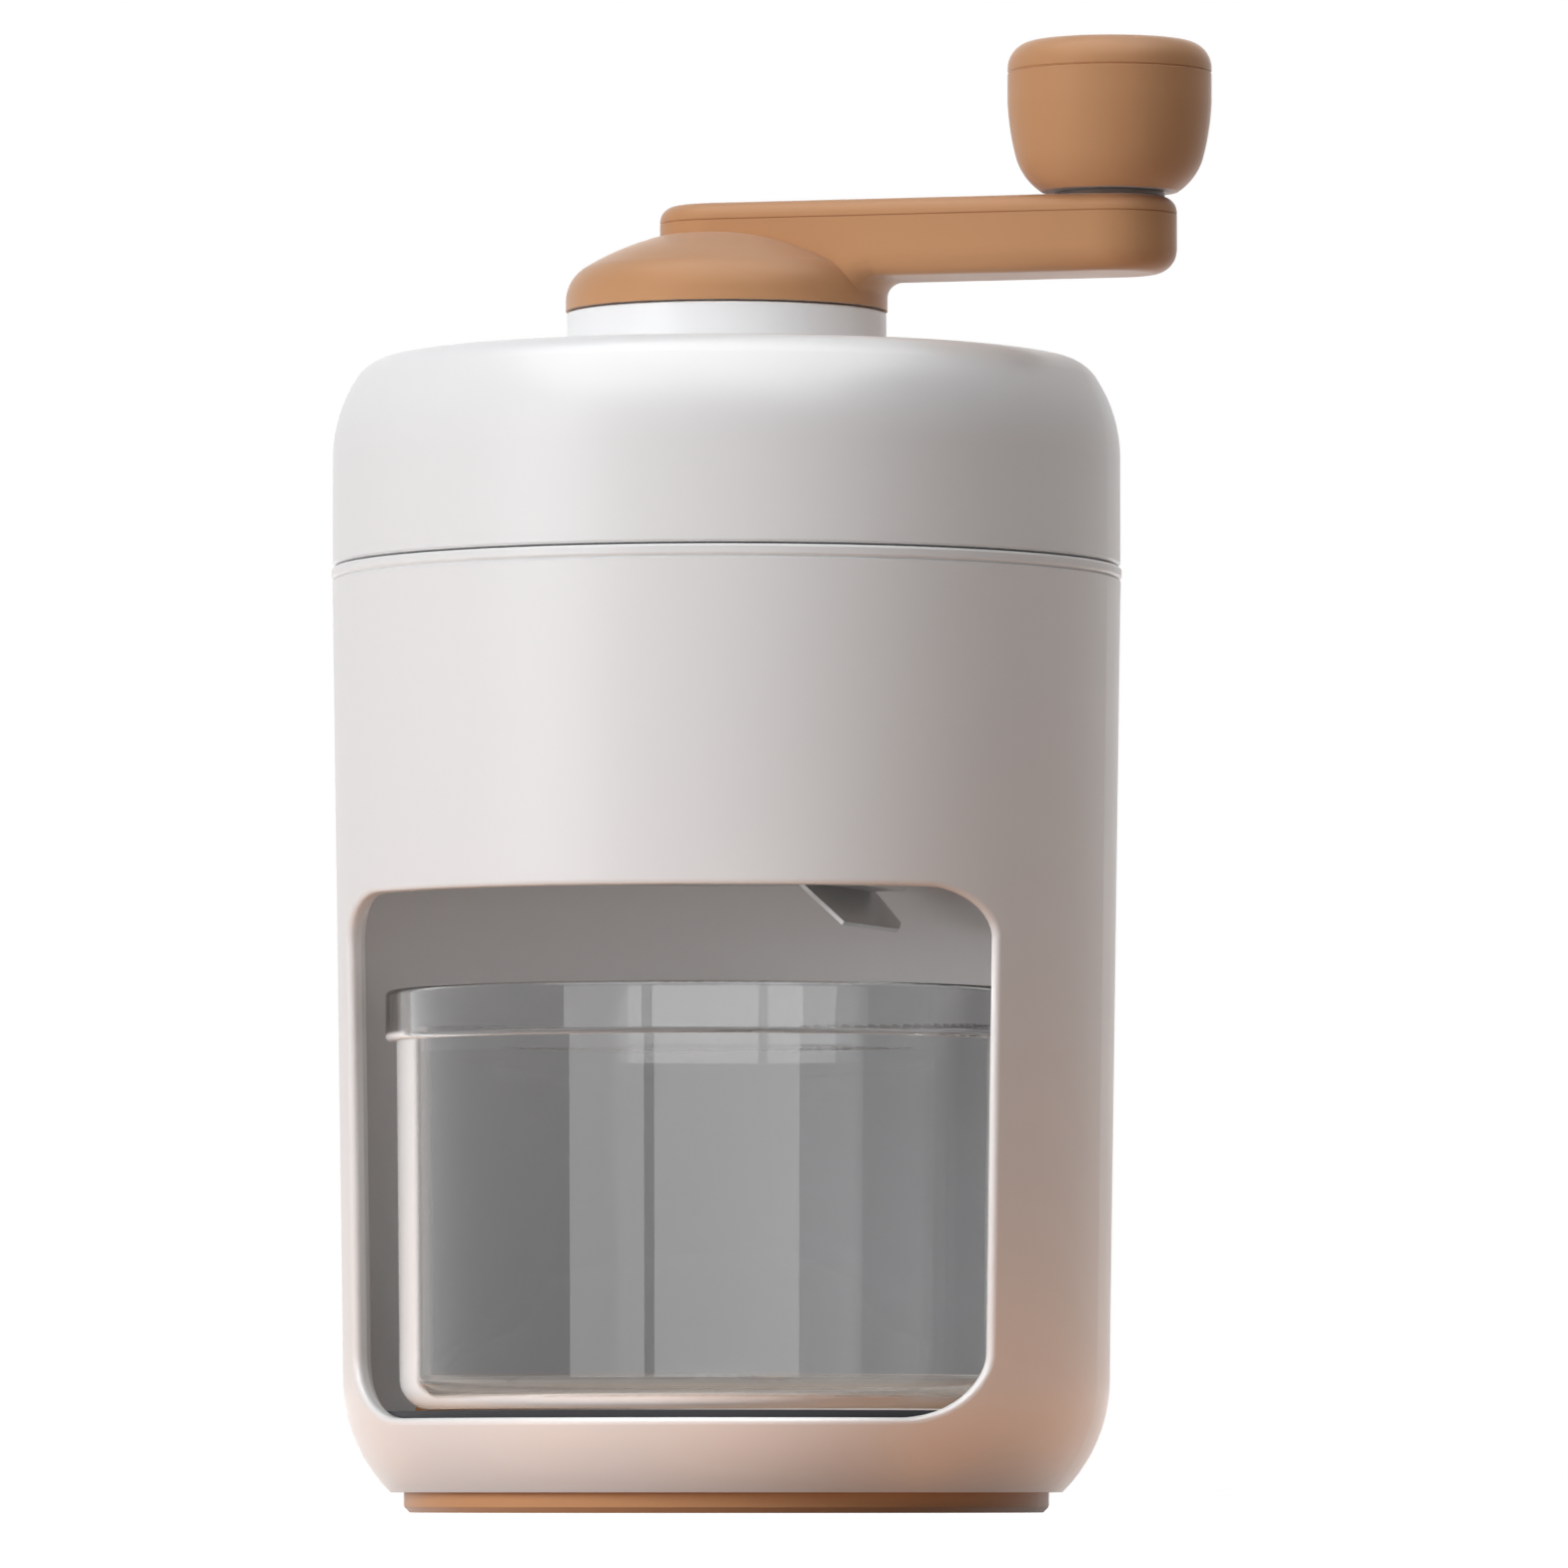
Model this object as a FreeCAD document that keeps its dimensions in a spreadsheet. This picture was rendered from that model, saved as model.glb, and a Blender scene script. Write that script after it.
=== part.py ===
import FreeCAD
import Part
import math
import os
import types

import Sketcher
from FreeCAD import Placement, Rotation, Vector

# Hand-cranked ice shaver. Z is up, the front is -Y, the crank points along +X.
# The origin is on the body's axis, in the flat underside of the foot.

SIZES = {
    # foot
    "foot_radius": 52.9,
    "foot_height": 3.3,
    "foot_chamfer": 0.9,
    "grip_inner": 43.2,
    "grip_outer": 48.8,
    "grip_height": 1.2,
    "foot_spigot_height": 1.6,
    "foot_spigot_wall": 2.0,
    "base_screw_circle": 36.0,
    "base_screw_length": 8.5,
    "base_pilot_depth": 8.0,
    "base_recess_radius": 3.4,
    "base_recess_depth": 1.9,
    # outer shell
    "low_radius": 62.9,
    "bend_height": 21.5,
    "bottom_bend": 26.0,
    "rim_radius": 64.85,
    "rim_height": 153.2,
    "shell_wall": 3.0,
    "lip_radius": 49.0,
    "seam_chamfer": 0.4,
    # front window
    "window_low": 15.3,
    "window_high": 100.6,
    "window_low_half": 52.7,
    "window_high_half": 54.0,
    "window_low_corner": 10.8,
    "window_high_corner": 8.0,
    "window_edge": 0.9,
    # bay
    "liner_wall": 1.0,
    "seat_gap": 0.1,
    "floor_top": 16.5,
    "floor_thickness": 3.0,
    "ceiling_height": 105.4,
    "ceiling_radius": 50.0,
    "skirt_outer": 52.6,
    "skirt_wall": 2.4,
    "boss_radius": 4.2,
    "ridge_inner": 51.4,
    "ridge_wall": 1.8,
    "ridge_height": 2.2,
    "ridge_tilt": 8.0,
    # ice chamber
    "chamber_radius": 53.0,
    "chamber_wall": 2.5,
    "chamber_low": 111.0,
    "flange_top": 155.1,
    "ring_radius": 65.0,
    "spigot_low": 149.5,
    "spigot_outer": 61.6,
    "spigot_inner": 59.4,
    "disc_radius": 60.0,
    "disc_thickness": 3.0,
    "ledge_height": 2.4,
    "disc_screw_circle": 57.7,
    "disc_screw_length": 9.5,
    "disc_pilot_depth": 7.5,
    "disc_boss_radius": 2.6,
    "disc_boss_height": 7.0,
    "notch_width": 8.0,
    "notch_depth": 1.6,
    "notch_height": 6.0,
    # blade
    "blade_slope": 42.0,
    "blade_foot_x": 19.3,
    "blade_foot_z": 96.9,
    "blade_near": 3.0,
    "blade_length": 45.0,
    "blade_width": 22.0,
    "blade_thickness": 0.7,
    "blade_bevel": 3.0,
    "blade_edge": 0.1,
    "blade_clip_low": 33.0,
    "blade_clip_bend": 39.5,
    "blade_clip_rise": 2.0,
    "blade_clip_high": 10.0,
    "blade_screw_place": 16.0,
    "blade_screw_near": 7.5,
    "blade_screw_far": 35.5,
    "blade_screw_head": 2.6,
    "blade_screw_head_height": 1.3,
    "blade_screw_depth": 3.6,
    "mouth_left": -3.5,
    "mouth_margin": 1.0,
    "seat_low": 103.6,
    "seat_low_width": 6.0,
    "seat_high_width": 8.4,
    "seat_length": 43.0,
    # lid
    "lid_low": 155.4,
    "lid_radius": 64.8,
    "lid_top": 189.5,
    "lid_wall": 2.6,
    "crown_reach": 55.0,
    "shoulder_bend": 7.0,
    "side_bend": 24.0,
    "lid_hole": 23.0,
    "liner_bore": 50.3,
    "liner_outer": 52.7,
    "liner_low": 150.6,
    "liner_plate": 3.0,
    "liner_flange_low": 156.5,
    "liner_flange_outer": 62.1,
    "liner_flange": 2.0,
    "key_width": 7.0,
    "key_reach": 54.2,
    "key_height": 4.0,
    "collar_radius": 26.3,
    "collar_wall": 2.3,
    "collar_top": 197.2,
    "collar_plate": 2.6,
    "collar_edge": 0.4,
    "collar_tube_wall": 3.2,
    "collar_boss_radius": 3.6,
    "collar_screw_circle": 17.0,
    "collar_screw_length": 9.0,
    "collar_pilot_depth": 6.5,
    # drive
    "journal_radius": 5.0,
    "running_gap": 0.05,
    "bush_radius": 7.0,
    "bush_flange_radius": 9.5,
    "bush_flange": 0.9,
    "thrust_radius": 14.0,
    "thrust_thickness": 0.8,
    "thrust_proud": 0.1,
    "washer_gap": 0.15,
    "hex_flats": 8.5,
    "shaft_low": 116.7,
    "shaft_high": 205.8,
    "drive_low": 197.4,
    "low_bore_depth": 10.0,
    "high_bore_radius": 2.0,
    "high_bore_depth": 9.0,
    "clip_low": 181.9,
    "clip_thickness": 0.8,
    "clip_inner": 4.3,
    "clip_outer": 8.0,
    "clip_gap_half": 2.6,
    "spring_washer_radius": 11.5,
    "stop_thickness": 1.2,
    "stop_radius": 7.5,
    "stop_screw_depth": 7.0,
    # presser
    "presser_radius": 48.5,
    "presser_low": 117.0,
    "presser_thickness": 2.6,
    "presser_rim": 2.0,
    "sleeve_radius": 8.4,
    "sleeve_top": 128.0,
    "rib_height": 3.0,
    "rib_width": 1.6,
    "rib_gap": 2.0,
    "spike_height": 3.8,
    "spike_radius": 2.0,
    "spike_tip": 0.3,
    "outer_spike_circle": 38.8,
    "inner_spike_circle": 21.8,
    "spring_radius": 9.7,
    "wire_radius": 0.6,
    "spring_turns": 8.0,
    # crank
    "hub_low": 197.5,
    "hub_radius": 26.5,
    "dome_radius": 45.0,
    "dome_top": 211.2,
    "hub_fillet": 6.4,
    "arm_half": 11.0,
    "arm_reach": 65.3,
    "arm_low": 202.2,
    "arm_seam": 211.8,
    "arm_top": 214.8,
    "arm_root_bend": 2.4,
    "arm_low_fillet": 4.0,
    "arm_top_fillet": 2.6,
    "channel_low": 205.4,
    "channel_half": 7.6,
    "channel_start": 17.0,
    "channel_end": 55.0,
    "core_inner": 15.0,
    "core_outer": 22.5,
    "core_depth": 2.6,
    "cover_plug": 1.4,
    "fine_seam": 0.25,
    "hub_screw_head": 4.0,
    "hub_screw_head_height": 2.2,
    "hub_screw_shank": 1.95,
    "hub_screw_length": 10.5,
    "hub_screw_passage": 2.2,
    "hub_recess_radius": 4.6,
    "hub_recess_depth": 3.0,
    # knob
    "knob_low": 215.7,
    "knob_base_radius": 11.2,
    "knob_bend_height": 221.6,
    "knob_bend_radius": 15.4,
    "knob_low_bend": 10.0,
    "knob_side_bend": 44.0,
    "knob_radius": 16.7,
    "knob_full_height": 230.3,
    "knob_seam": 235.2,
    "knob_top": 240.3,
    "knob_top_fillet": 4.4,
    "knob_socket": 13.0,
    "knob_socket_low": 228.3,
    "cap_spigot": 3.0,
    "cap_spigot_wall": 1.8,
    "knob_washer_radius": 9.0,
    "knob_washer": 0.6,
    "pin_radius": 4.0,
    "pin_thread": 2.5,
    "pin_low": 204.0,
    "pin_head_radius": 6.5,
    "pin_head": 2.6,
    "pin_key": 5.0,
    "pin_key_depth": 1.6,
    "pin_gap": 0.3,
    # cup
    "cup_back": 10.0,
    "cup_low": 16.8,
    "cup_recess": 0.7,
    "cup_recess_radius": 43.5,
    "cup_low_radius": 50.6,
    "cup_wall_radius": 51.2,
    "cup_wall": 2.4,
    "cup_floor": 2.9,
    "cup_corner": 5.0,
    "band_low": 76.8,
    "band_radius": 53.0,
    "cup_top": 85.2,
    "cup_edge": 0.9,
    "band_bore": 49.6,
    "band_ease": 2.0,
    # screws: large ones for foot, collar, blade and stop, small ones for the blade's disc
    "screw_head": 3.0,
    "screw_head_height": 1.6,
    "screw_shank": 1.45,
    "screw_pilot": 1.5,
    "screw_passage": 1.7,
    "small_head": 2.4,
    "small_head_height": 1.5,
    "small_shank": 1.2,
    "small_pilot": 1.25,
    "small_passage": 1.4,
    "socket_share": 0.5,
    "socket_depth_share": 0.6,
    # how far a pad sinks into what carries it, how far a cut runs past a face, and a press fit's gap
    "sink": 0.5,
    "overrun": 1.0,
    "press_gap": 0.02,
}

doc = FreeCAD.newDocument("IceShaver")
sheet = doc.addObject("Spreadsheet::Sheet", "Sizes")
for row, (alias, number) in enumerate(SIZES.items(), start=1):
    sheet.set(f"A{row}", alias)
    sheet.set(f"B{row}", str(number))
    sheet.setAlias(f"B{row}", alias)
doc.recompute()


class Length:
    """A size in millimetres, together with the sheet expression that gives it."""

    def __init__(self, value, text):
        self.value = value
        self.text = text

    def __add__(self, other):
        other = length(other)
        return Length(self.value + other.value, f"({self.text} + {other.text})")

    def __sub__(self, other):
        other = length(other)
        return Length(self.value - other.value, f"({self.text} - {other.text})")

    def __rsub__(self, other):
        return length(other) - self

    def __mul__(self, other):
        other = length(other)
        return Length(self.value * other.value, f"({self.text} * {other.text})")

    def __truediv__(self, other):
        other = length(other)
        return Length(self.value / other.value, f"({self.text} / {other.text})")

    def __neg__(self):
        return Length(-self.value, f"(0 - {self.text})")

    __radd__ = __add__
    __rmul__ = __mul__


def length(number):
    return number if isinstance(number, Length) else Length(number, repr(float(number)))


def root(number):
    return Length(math.sqrt(number.value), f"sqrt({number.text})")


def drop(radius, reach):
    """How far a circle of this radius reaches along one axis where it is at reach on the other."""
    return root(radius * radius - reach * reach)


d = types.SimpleNamespace(**{alias: Length(number, f"Sizes.{alias}") for alias, number in SIZES.items()})
ZERO = length(0)

cuts = []
parts = []


def bind(item, field, size):
    item.setExpression(field, length(size).text)


# ---- sketches and features ------------------------------------------------------------------

def new_body(label):
    body = doc.addObject("PartDesign::Body", label)
    body.Label = label
    parts.append(body)
    return body


def origin_feature(body, role):
    return next(item for item in body.Origin.OriginFeatures if item.Role == role)


def sketch_on(body, name, role, lift=ZERO):
    """Sketch on one of the body's origin planes, lifted along the plane's normal."""
    sketch = body.newObject("Sketcher::SketchObject", name)
    sketch.AttachmentSupport = [(origin_feature(body, role), "")]
    sketch.MapMode = "FlatFace"
    bind(sketch, "AttachmentOffset.Base.z", lift)
    return sketch


def fix(sketch, kind, size, *where):
    """Dimension of the sketch, bound to its size."""
    index = sketch.addConstraint(Sketcher.Constraint(kind, *where, size.value))
    sketch.setExpression(f"Constraints[{index}]", size.text)


def fix_across(sketch, edge, end, size, axis=-2, kind="DistanceX"):
    """Ties a point of an edge to its distance from one of the sketch's axes."""
    if size.value == 0:
        sketch.addConstraint(Sketcher.Constraint("PointOnObject", edge, end, axis))
    else:
        fix(sketch, kind, size, -1, 1, edge, end)


def fix_point(sketch, edge, end, across, up):
    """Ties a point of an edge to its place from the sketch's origin."""
    fix_across(sketch, edge, end, across)
    fix_across(sketch, edge, end, up, -1, "DistanceY")


def outline(sketch, points):
    """Closed outline. A third number at a point is the radius of the arc that leads on from it,
    positive where the outline turns left. A half circle's ends lie one above the other."""
    points = [tuple(length(number) for number in point) for point in points]
    ends = []
    half_circles = []
    for index, point in enumerate(points):
        here = Vector(point[0].value, point[1].value, 0)
        following = points[(index + 1) % len(points)]
        there = Vector(following[0].value, following[1].value, 0)
        if len(point) == 2:
            ends.append((sketch.addGeometry(Part.LineSegment(here, there)), 1, 2))
            continue
        bend = point[2].value
        chord = there - here
        left = Vector(-chord.y, chord.x, 0).normalize()
        rise = math.sqrt(max(bend * bend - chord.Length ** 2 / 4, 0))
        centre = (here + there) / 2 + left * math.copysign(rise, bend)
        first, last = (here, there) if bend > 0 else (there, here)
        turn = [math.atan2(spot.y - centre.y, spot.x - centre.x) for spot in (first, last)]
        if turn[1] < turn[0]:
            turn[1] += 2 * math.pi
        circle = Part.Circle(centre, Vector(0, 0, 1), abs(bend))
        edge = sketch.addGeometry(Part.ArcOfCircle(circle, *turn))
        ends.append((edge, 1, 2) if bend > 0 else (edge, 2, 1))
        if rise < 1e-6:
            half_circles.append(edge)
    for (edge, start, _), (before, _, stop) in zip(ends, ends[-1:] + ends[:-1]):
        sketch.addConstraint(Sketcher.Constraint("Coincident", before, stop, edge, start))
    for (edge, start, _), point in zip(ends, points):
        fix_point(sketch, edge, start, point[0], point[1])
        if edge in half_circles:
            fix_across(sketch, edge, 3, point[0])
        elif len(point) == 3:
            fix(sketch, "Radius", point[2] if point[2].value > 0 else -point[2], edge)
    return sketch


def ring(sketch, across, up, radius):
    """Full circle in a sketch."""
    across, up, radius = length(across), length(up), length(radius)
    centre = Vector(across.value, up.value, 0)
    edge = sketch.addGeometry(Part.Circle(centre, Vector(0, 0, 1), radius.value))
    fix_point(sketch, edge, 3, across, up)
    fix(sketch, "Radius", radius, edge)
    return sketch


def hexagon(sketch, flats):
    """Six-sided outline round the origin, with two flats across X."""
    half = flats / 2
    corner = flats / math.sqrt(3)
    outline(sketch, [(half, -corner / 2), (half, corner / 2), (ZERO, corner),
                     (-half, corner / 2), (-half, -corner / 2), (ZERO, -corner)])
    return sketch


def turned(body, name, points, cut=False):
    """Full turn of an outline about the body's Z axis."""
    profile = outline(sketch_on(body, name + "Profile", "XZ_Plane"), points)
    feature = body.newObject("PartDesign::Groove" if cut else "PartDesign::Revolution", name)
    feature.Profile = profile
    feature.ReferenceAxis = (profile, ["V_Axis"])
    feature.Angle = 360
    if cut:
        cuts.append(feature)
    return feature


def pad(body, name, profile, depth, reverse=False):
    feature = body.newObject("PartDesign::Pad", name)
    feature.Profile = profile
    bind(feature, "Length", depth)
    feature.Reversed = reverse
    return feature


def pocket(body, name, profile, depth, reverse=False):
    """Cut against the sketch's normal, or along it when reversed."""
    feature = body.newObject("PartDesign::Pocket", name)
    feature.Profile = profile
    bind(feature, "Length", depth)
    feature.Reversed = reverse
    cuts.append(feature)
    return feature


def around(body, name, features, count):
    """Repeats features evenly about the body's Z axis."""
    pattern = body.newObject("PartDesign::PolarPattern", name)
    pattern.Originals = features
    pattern.Axis = (origin_feature(body, "Z_Axis"), [""])
    pattern.Angle = 360
    pattern.Occurrences = count
    body.Tip = pattern
    return pattern


def dress(body, name, kind, size, wanted):
    """Fillet or chamfer of every edge of the tip that the test wanted accepts."""
    doc.recompute()
    base = body.Tip
    names = [f"Edge{number}" for number, edge in enumerate(base.Shape.Edges, start=1) if wanted(edge)]
    if not names:
        raise RuntimeError(f"{body.Label}: no edge found for {name}")
    feature = body.newObject("PartDesign::" + kind, name)
    feature.Base = (base, names)
    bind(feature, "Radius" if kind == "Fillet" else "Size", size)
    return feature


def circle_at(radius, height):
    """Test for a circular edge about Z with this radius at this height."""
    def test(edge):
        curve = edge.Curve
        return (isinstance(curve, Part.Circle) and abs(curve.Radius - radius.value) < 0.02
                and abs(curve.Center.z - height.value) < 0.02 and abs(curve.Axis.z) > 0.99
                and math.hypot(curve.Center.x, curve.Center.y) < 0.02)
    return test


def at_height(height):
    """Test for an edge that lies flat at one height."""
    def test(edge):
        box = edge.BoundBox
        return abs(box.ZMin - height.value) < 0.01 and abs(box.ZMax - height.value) < 0.01
    return test


def any_of(*tests):
    return lambda edge: any(test(edge) for test in tests)


def place(item, across=ZERO, along=ZERO, up=ZERO):
    for axis, size in zip("xyz", (across, along, up)):
        bind(item, f"Placement.Base.{axis}", size)


# ---- fasteners: plain Part solids, grouped -----------------------------------------------------

def cylinder(name, radius, height, low=ZERO):
    item = doc.addObject("Part::Cylinder", name)
    bind(item, "Radius", radius)
    bind(item, "Height", height)
    bind(item, "Placement.Base.z", low)
    return item


def screw(name, head_radius, head_height, shank_radius, shank_length):
    """Socket screw: its head hangs below z = 0 and its shank stands above."""
    head_radius, head_height = length(head_radius), length(head_height)
    body = doc.addObject("Part::Fuse", name + "Blank")
    body.Base = cylinder(name + "Head", head_radius, head_height, -head_height)
    body.Tool = cylinder(name + "Shank", shank_radius, shank_length)
    socket = doc.addObject("Part::Prism", name + "Socket")
    socket.Polygon = 6
    bind(socket, "Circumradius", head_radius * d.socket_share)
    bind(socket, "Height", head_height * d.socket_depth_share)
    bind(socket, "Placement.Base.z", -head_height)
    whole = doc.addObject("Part::Cut", name)
    whole.Base = body
    whole.Tool = socket
    return whole


def group(label, items):
    compound = doc.addObject("Part::Compound", label)
    compound.Label = label
    compound.Links = items
    parts.append(compound)
    return compound


def screw_circle(label, circle, first_angle, count, height, *sizes):
    """Screws on a circle about Z, heads down."""
    items = []
    for index in range(count):
        angle = math.radians(first_angle + 360 * index / count)
        item = screw(f"{label}{index + 1}", *sizes)
        place(item, circle * math.cos(angle), circle * math.sin(angle), height)
        items.append(item)
    return group(label, items)


def boss_holes(body, name, circle, first_angle, count, radius, low, depth):
    """Round holes on a circle, cut upwards from the height low."""
    angle = math.radians(first_angle)
    sketch = sketch_on(body, name + "Sketch", "XY_Plane", low)
    ring(sketch, circle * math.cos(angle), circle * math.sin(angle), radius)
    return around(body, name + "s", [pocket(body, name, sketch, depth, reverse=True)], count)


def bosses(body, name, circle, first_angle, count, radius, low, height):
    """Round pillars on a circle, standing up from the height low."""
    angle = math.radians(first_angle)
    sketch = sketch_on(body, name + "Sketch", "XY_Plane", low)
    ring(sketch, circle * math.cos(angle), circle * math.sin(angle), radius)
    return around(body, name + "s", [pad(body, name, sketch, height)], count)


# ---- forms shared by several pieces ------------------------------------------------------------

# Where each set of screws stands: circle, first angle and count.
base_circle = (d.base_screw_circle, 90, 3)
disc_circle = (d.disc_screw_circle, 30, 3)
collar_circle = (d.collar_screw_circle, 45, 4)
blade_screws_along = (d.blade_screw_near, d.blade_screw_far)

thrust_low = d.collar_top + d.thrust_proud - d.thrust_thickness

# The housing's straight wall leans out by this much per millimetre of height, and its bottom bend
# runs into that wall without a break.
taper = (d.rim_radius - d.low_radius) / (d.rim_height - d.bend_height)
lean = root(taper * taper + 1)
bend_across = d.low_radius - d.bottom_bend / lean
bend_up = d.bend_height + d.bottom_bend * taper / lean


def shell_radius(height):
    """Outer radius of the tapered housing at a height above its bottom bend."""
    return d.low_radius + taper * (height - d.bend_height)


def bend_top(inset):
    """Where the bottom bend, taken in by inset, meets the straight wall."""
    bend = d.bottom_bend - inset
    return bend_across + bend / lean, bend_up - bend * taper / lean


def bend_radius(inset, height):
    """Radius of the bottom bend, taken in by inset, at a height below the straight wall."""
    return bend_across + drop(d.bottom_bend - inset, bend_up - height)


def window_outline(grow):
    """Front window, a little wider at the top, with round corners that are larger at the bottom."""
    slope = (d.window_high_half - d.window_low_half) / (d.window_high - d.window_low)
    stretch = root(slope * slope + 1)
    low, high = d.window_low - grow, d.window_high + grow
    below, above = d.window_low_corner, d.window_high_corner
    half_low = d.window_low_half + grow + slope * below - below * stretch
    half_high = d.window_high_half + grow - slope * above - above * stretch
    side_low = (half_low + below / stretch, low + below - below * slope / stretch)
    side_high = (half_high + above / stretch, high - above - above * slope / stretch)
    return [(-half_low, low), (half_low, low, below), side_low, (*side_high, above),
            (half_high, high), (-half_high, high, above),
            (-side_high[0], side_high[1]), (-side_low[0], side_low[1], below)]


def stadium(start, half, reach):
    """Round-ended bar from x = start to x = reach."""
    return [(start, -half), (reach, -half, half), (reach, half), (start, half, half)]


def front_window(body, grow):
    sketch = outline(sketch_on(body, "WindowSketch", "XZ_Plane"), window_outline(grow))
    return pocket(body, "Window", sketch, d.ring_radius + d.overrun, reverse=True)


# ---- housing -----------------------------------------------------------------------------------

def make_body_shell():
    body = new_body("body_shell")
    lip_top = d.foot_height + d.shell_wall
    turned(body, "Housing", [
        (d.lip_radius, d.foot_height),
        (bend_radius(ZERO, d.foot_height), d.foot_height, d.bottom_bend),
        bend_top(ZERO),
        (d.rim_radius, d.rim_height),
        (d.rim_radius - d.shell_wall, d.rim_height),
        (*bend_top(d.shell_wall), -(d.bottom_bend - d.shell_wall)),
        (bend_radius(d.shell_wall, lip_top), lip_top),
        (d.lip_radius, lip_top)])
    front_window(body, ZERO)

    def on_window_rim(edge):
        return all(abs(math.hypot(spot.x, spot.y) - outer_radius_at(spot.z)) < 0.05
                   and abs(spot.z - middle) < reach and spot.y < -d.overrun.value
                   for spot in edge.discretize(7))

    middle = (d.window_low.value + d.window_high.value) / 2
    reach = (d.window_high.value - d.window_low.value) / 2 + d.overrun.value
    dress(body, "WindowEdge", "Fillet", d.window_edge, on_window_rim)
    dress(body, "RimChamfer", "Chamfer", d.seam_chamfer, circle_at(d.rim_radius, d.rim_height))


def outer_radius_at(height):
    if height >= d.bend_height.value:
        return shell_radius(length(height)).value
    return bend_radius(ZERO, length(height)).value


def make_bay_liner():
    body = new_body("bay_liner")
    outer = d.shell_wall + d.seat_gap
    inner = outer + d.liner_wall
    roof = d.ceiling_height + d.liner_wall
    turned(body, "Sleeve", [
        (bend_radius(outer, d.floor_top), d.floor_top, d.bottom_bend - outer),
        bend_top(outer),
        (shell_radius(roof) - outer, roof),
        (d.ceiling_radius, roof),
        (d.ceiling_radius, d.ceiling_height),
        (shell_radius(d.ceiling_height) - inner, d.ceiling_height),
        (*bend_top(inner), -(d.bottom_bend - inner)),
        (bend_radius(inner, d.floor_top), d.floor_top)])
    front_window(body, d.seat_gap * 4)


def make_bay_floor():
    body = new_body("bay_floor")
    underside = d.floor_top - d.floor_thickness
    edge = d.shell_wall + d.seat_gap * 2
    skirt_low = d.foot_height + d.shell_wall
    turned(body, "Disc", [
        (ZERO, underside),
        (d.skirt_outer - d.skirt_wall, underside),
        (d.skirt_outer - d.skirt_wall, skirt_low),
        (d.skirt_outer, skirt_low),
        (d.skirt_outer, underside),
        (bend_radius(edge, underside), underside),
        (bend_radius(edge, d.floor_top), d.floor_top),
        (ZERO, d.floor_top)])
    bosses(body, "ScrewBoss", *base_circle, d.boss_radius, d.foot_height, underside - d.foot_height + d.sink)
    # low ridge behind the cup, open to the front
    tilt = math.radians(SIZES["ridge_tilt"])
    near, far = d.ridge_inner, d.ridge_inner + d.ridge_wall
    near_x, near_y = near * math.cos(tilt), near * math.sin(tilt) - d.cup_back
    far_x, far_y = far * math.cos(tilt), far * math.sin(tilt) - d.cup_back
    sketch = outline(sketch_on(body, "RidgeSketch", "XY_Plane", d.floor_top), [
        (-far_x, far_y, -far), (far_x, far_y), (near_x, near_y, near), (-near_x, near_y)])
    pad(body, "Ridge", sketch, d.ridge_height)
    boss_holes(body, "ScrewHole", *base_circle, d.screw_pilot, d.foot_height, d.base_pilot_depth)


def make_foot_base():
    body = new_body("foot_base")
    spigot_outer = d.lip_radius - d.seat_gap * 2
    spigot_inner = spigot_outer - d.foot_spigot_wall
    spigot_top = d.foot_height + d.foot_spigot_height
    turned(body, "Disc", [
        (ZERO, ZERO),
        (d.grip_inner, ZERO),
        (d.grip_inner, d.grip_height),
        (d.grip_outer, d.grip_height),
        (d.grip_outer, ZERO),
        (d.foot_radius - d.foot_chamfer, ZERO),
        (d.foot_radius, d.foot_chamfer),
        (d.foot_radius, d.foot_height),
        (spigot_outer, d.foot_height),
        (spigot_outer, spigot_top),
        (spigot_inner, spigot_top),
        (spigot_inner, d.foot_height),
        (ZERO, d.foot_height)])
    boss_holes(body, "ScrewPassage", *base_circle, d.screw_passage, ZERO, d.foot_height + d.overrun)
    boss_holes(body, "ScrewRecess", *base_circle, d.base_recess_radius, ZERO, d.base_recess_depth)
    screw_circle("base_screws", *base_circle, d.base_recess_depth,
                 d.screw_head, d.screw_head_height, d.screw_shank, d.base_screw_length)


def make_grip_ring():
    body = new_body("grip_ring")
    turned(body, "Ring", [
        (d.grip_inner + d.seat_gap, ZERO), (d.grip_outer - d.seat_gap, ZERO),
        (d.grip_outer - d.seat_gap, d.grip_height), (d.grip_inner + d.seat_gap, d.grip_height)])


# ---- ice chamber and blade ---------------------------------------------------------------------

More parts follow.
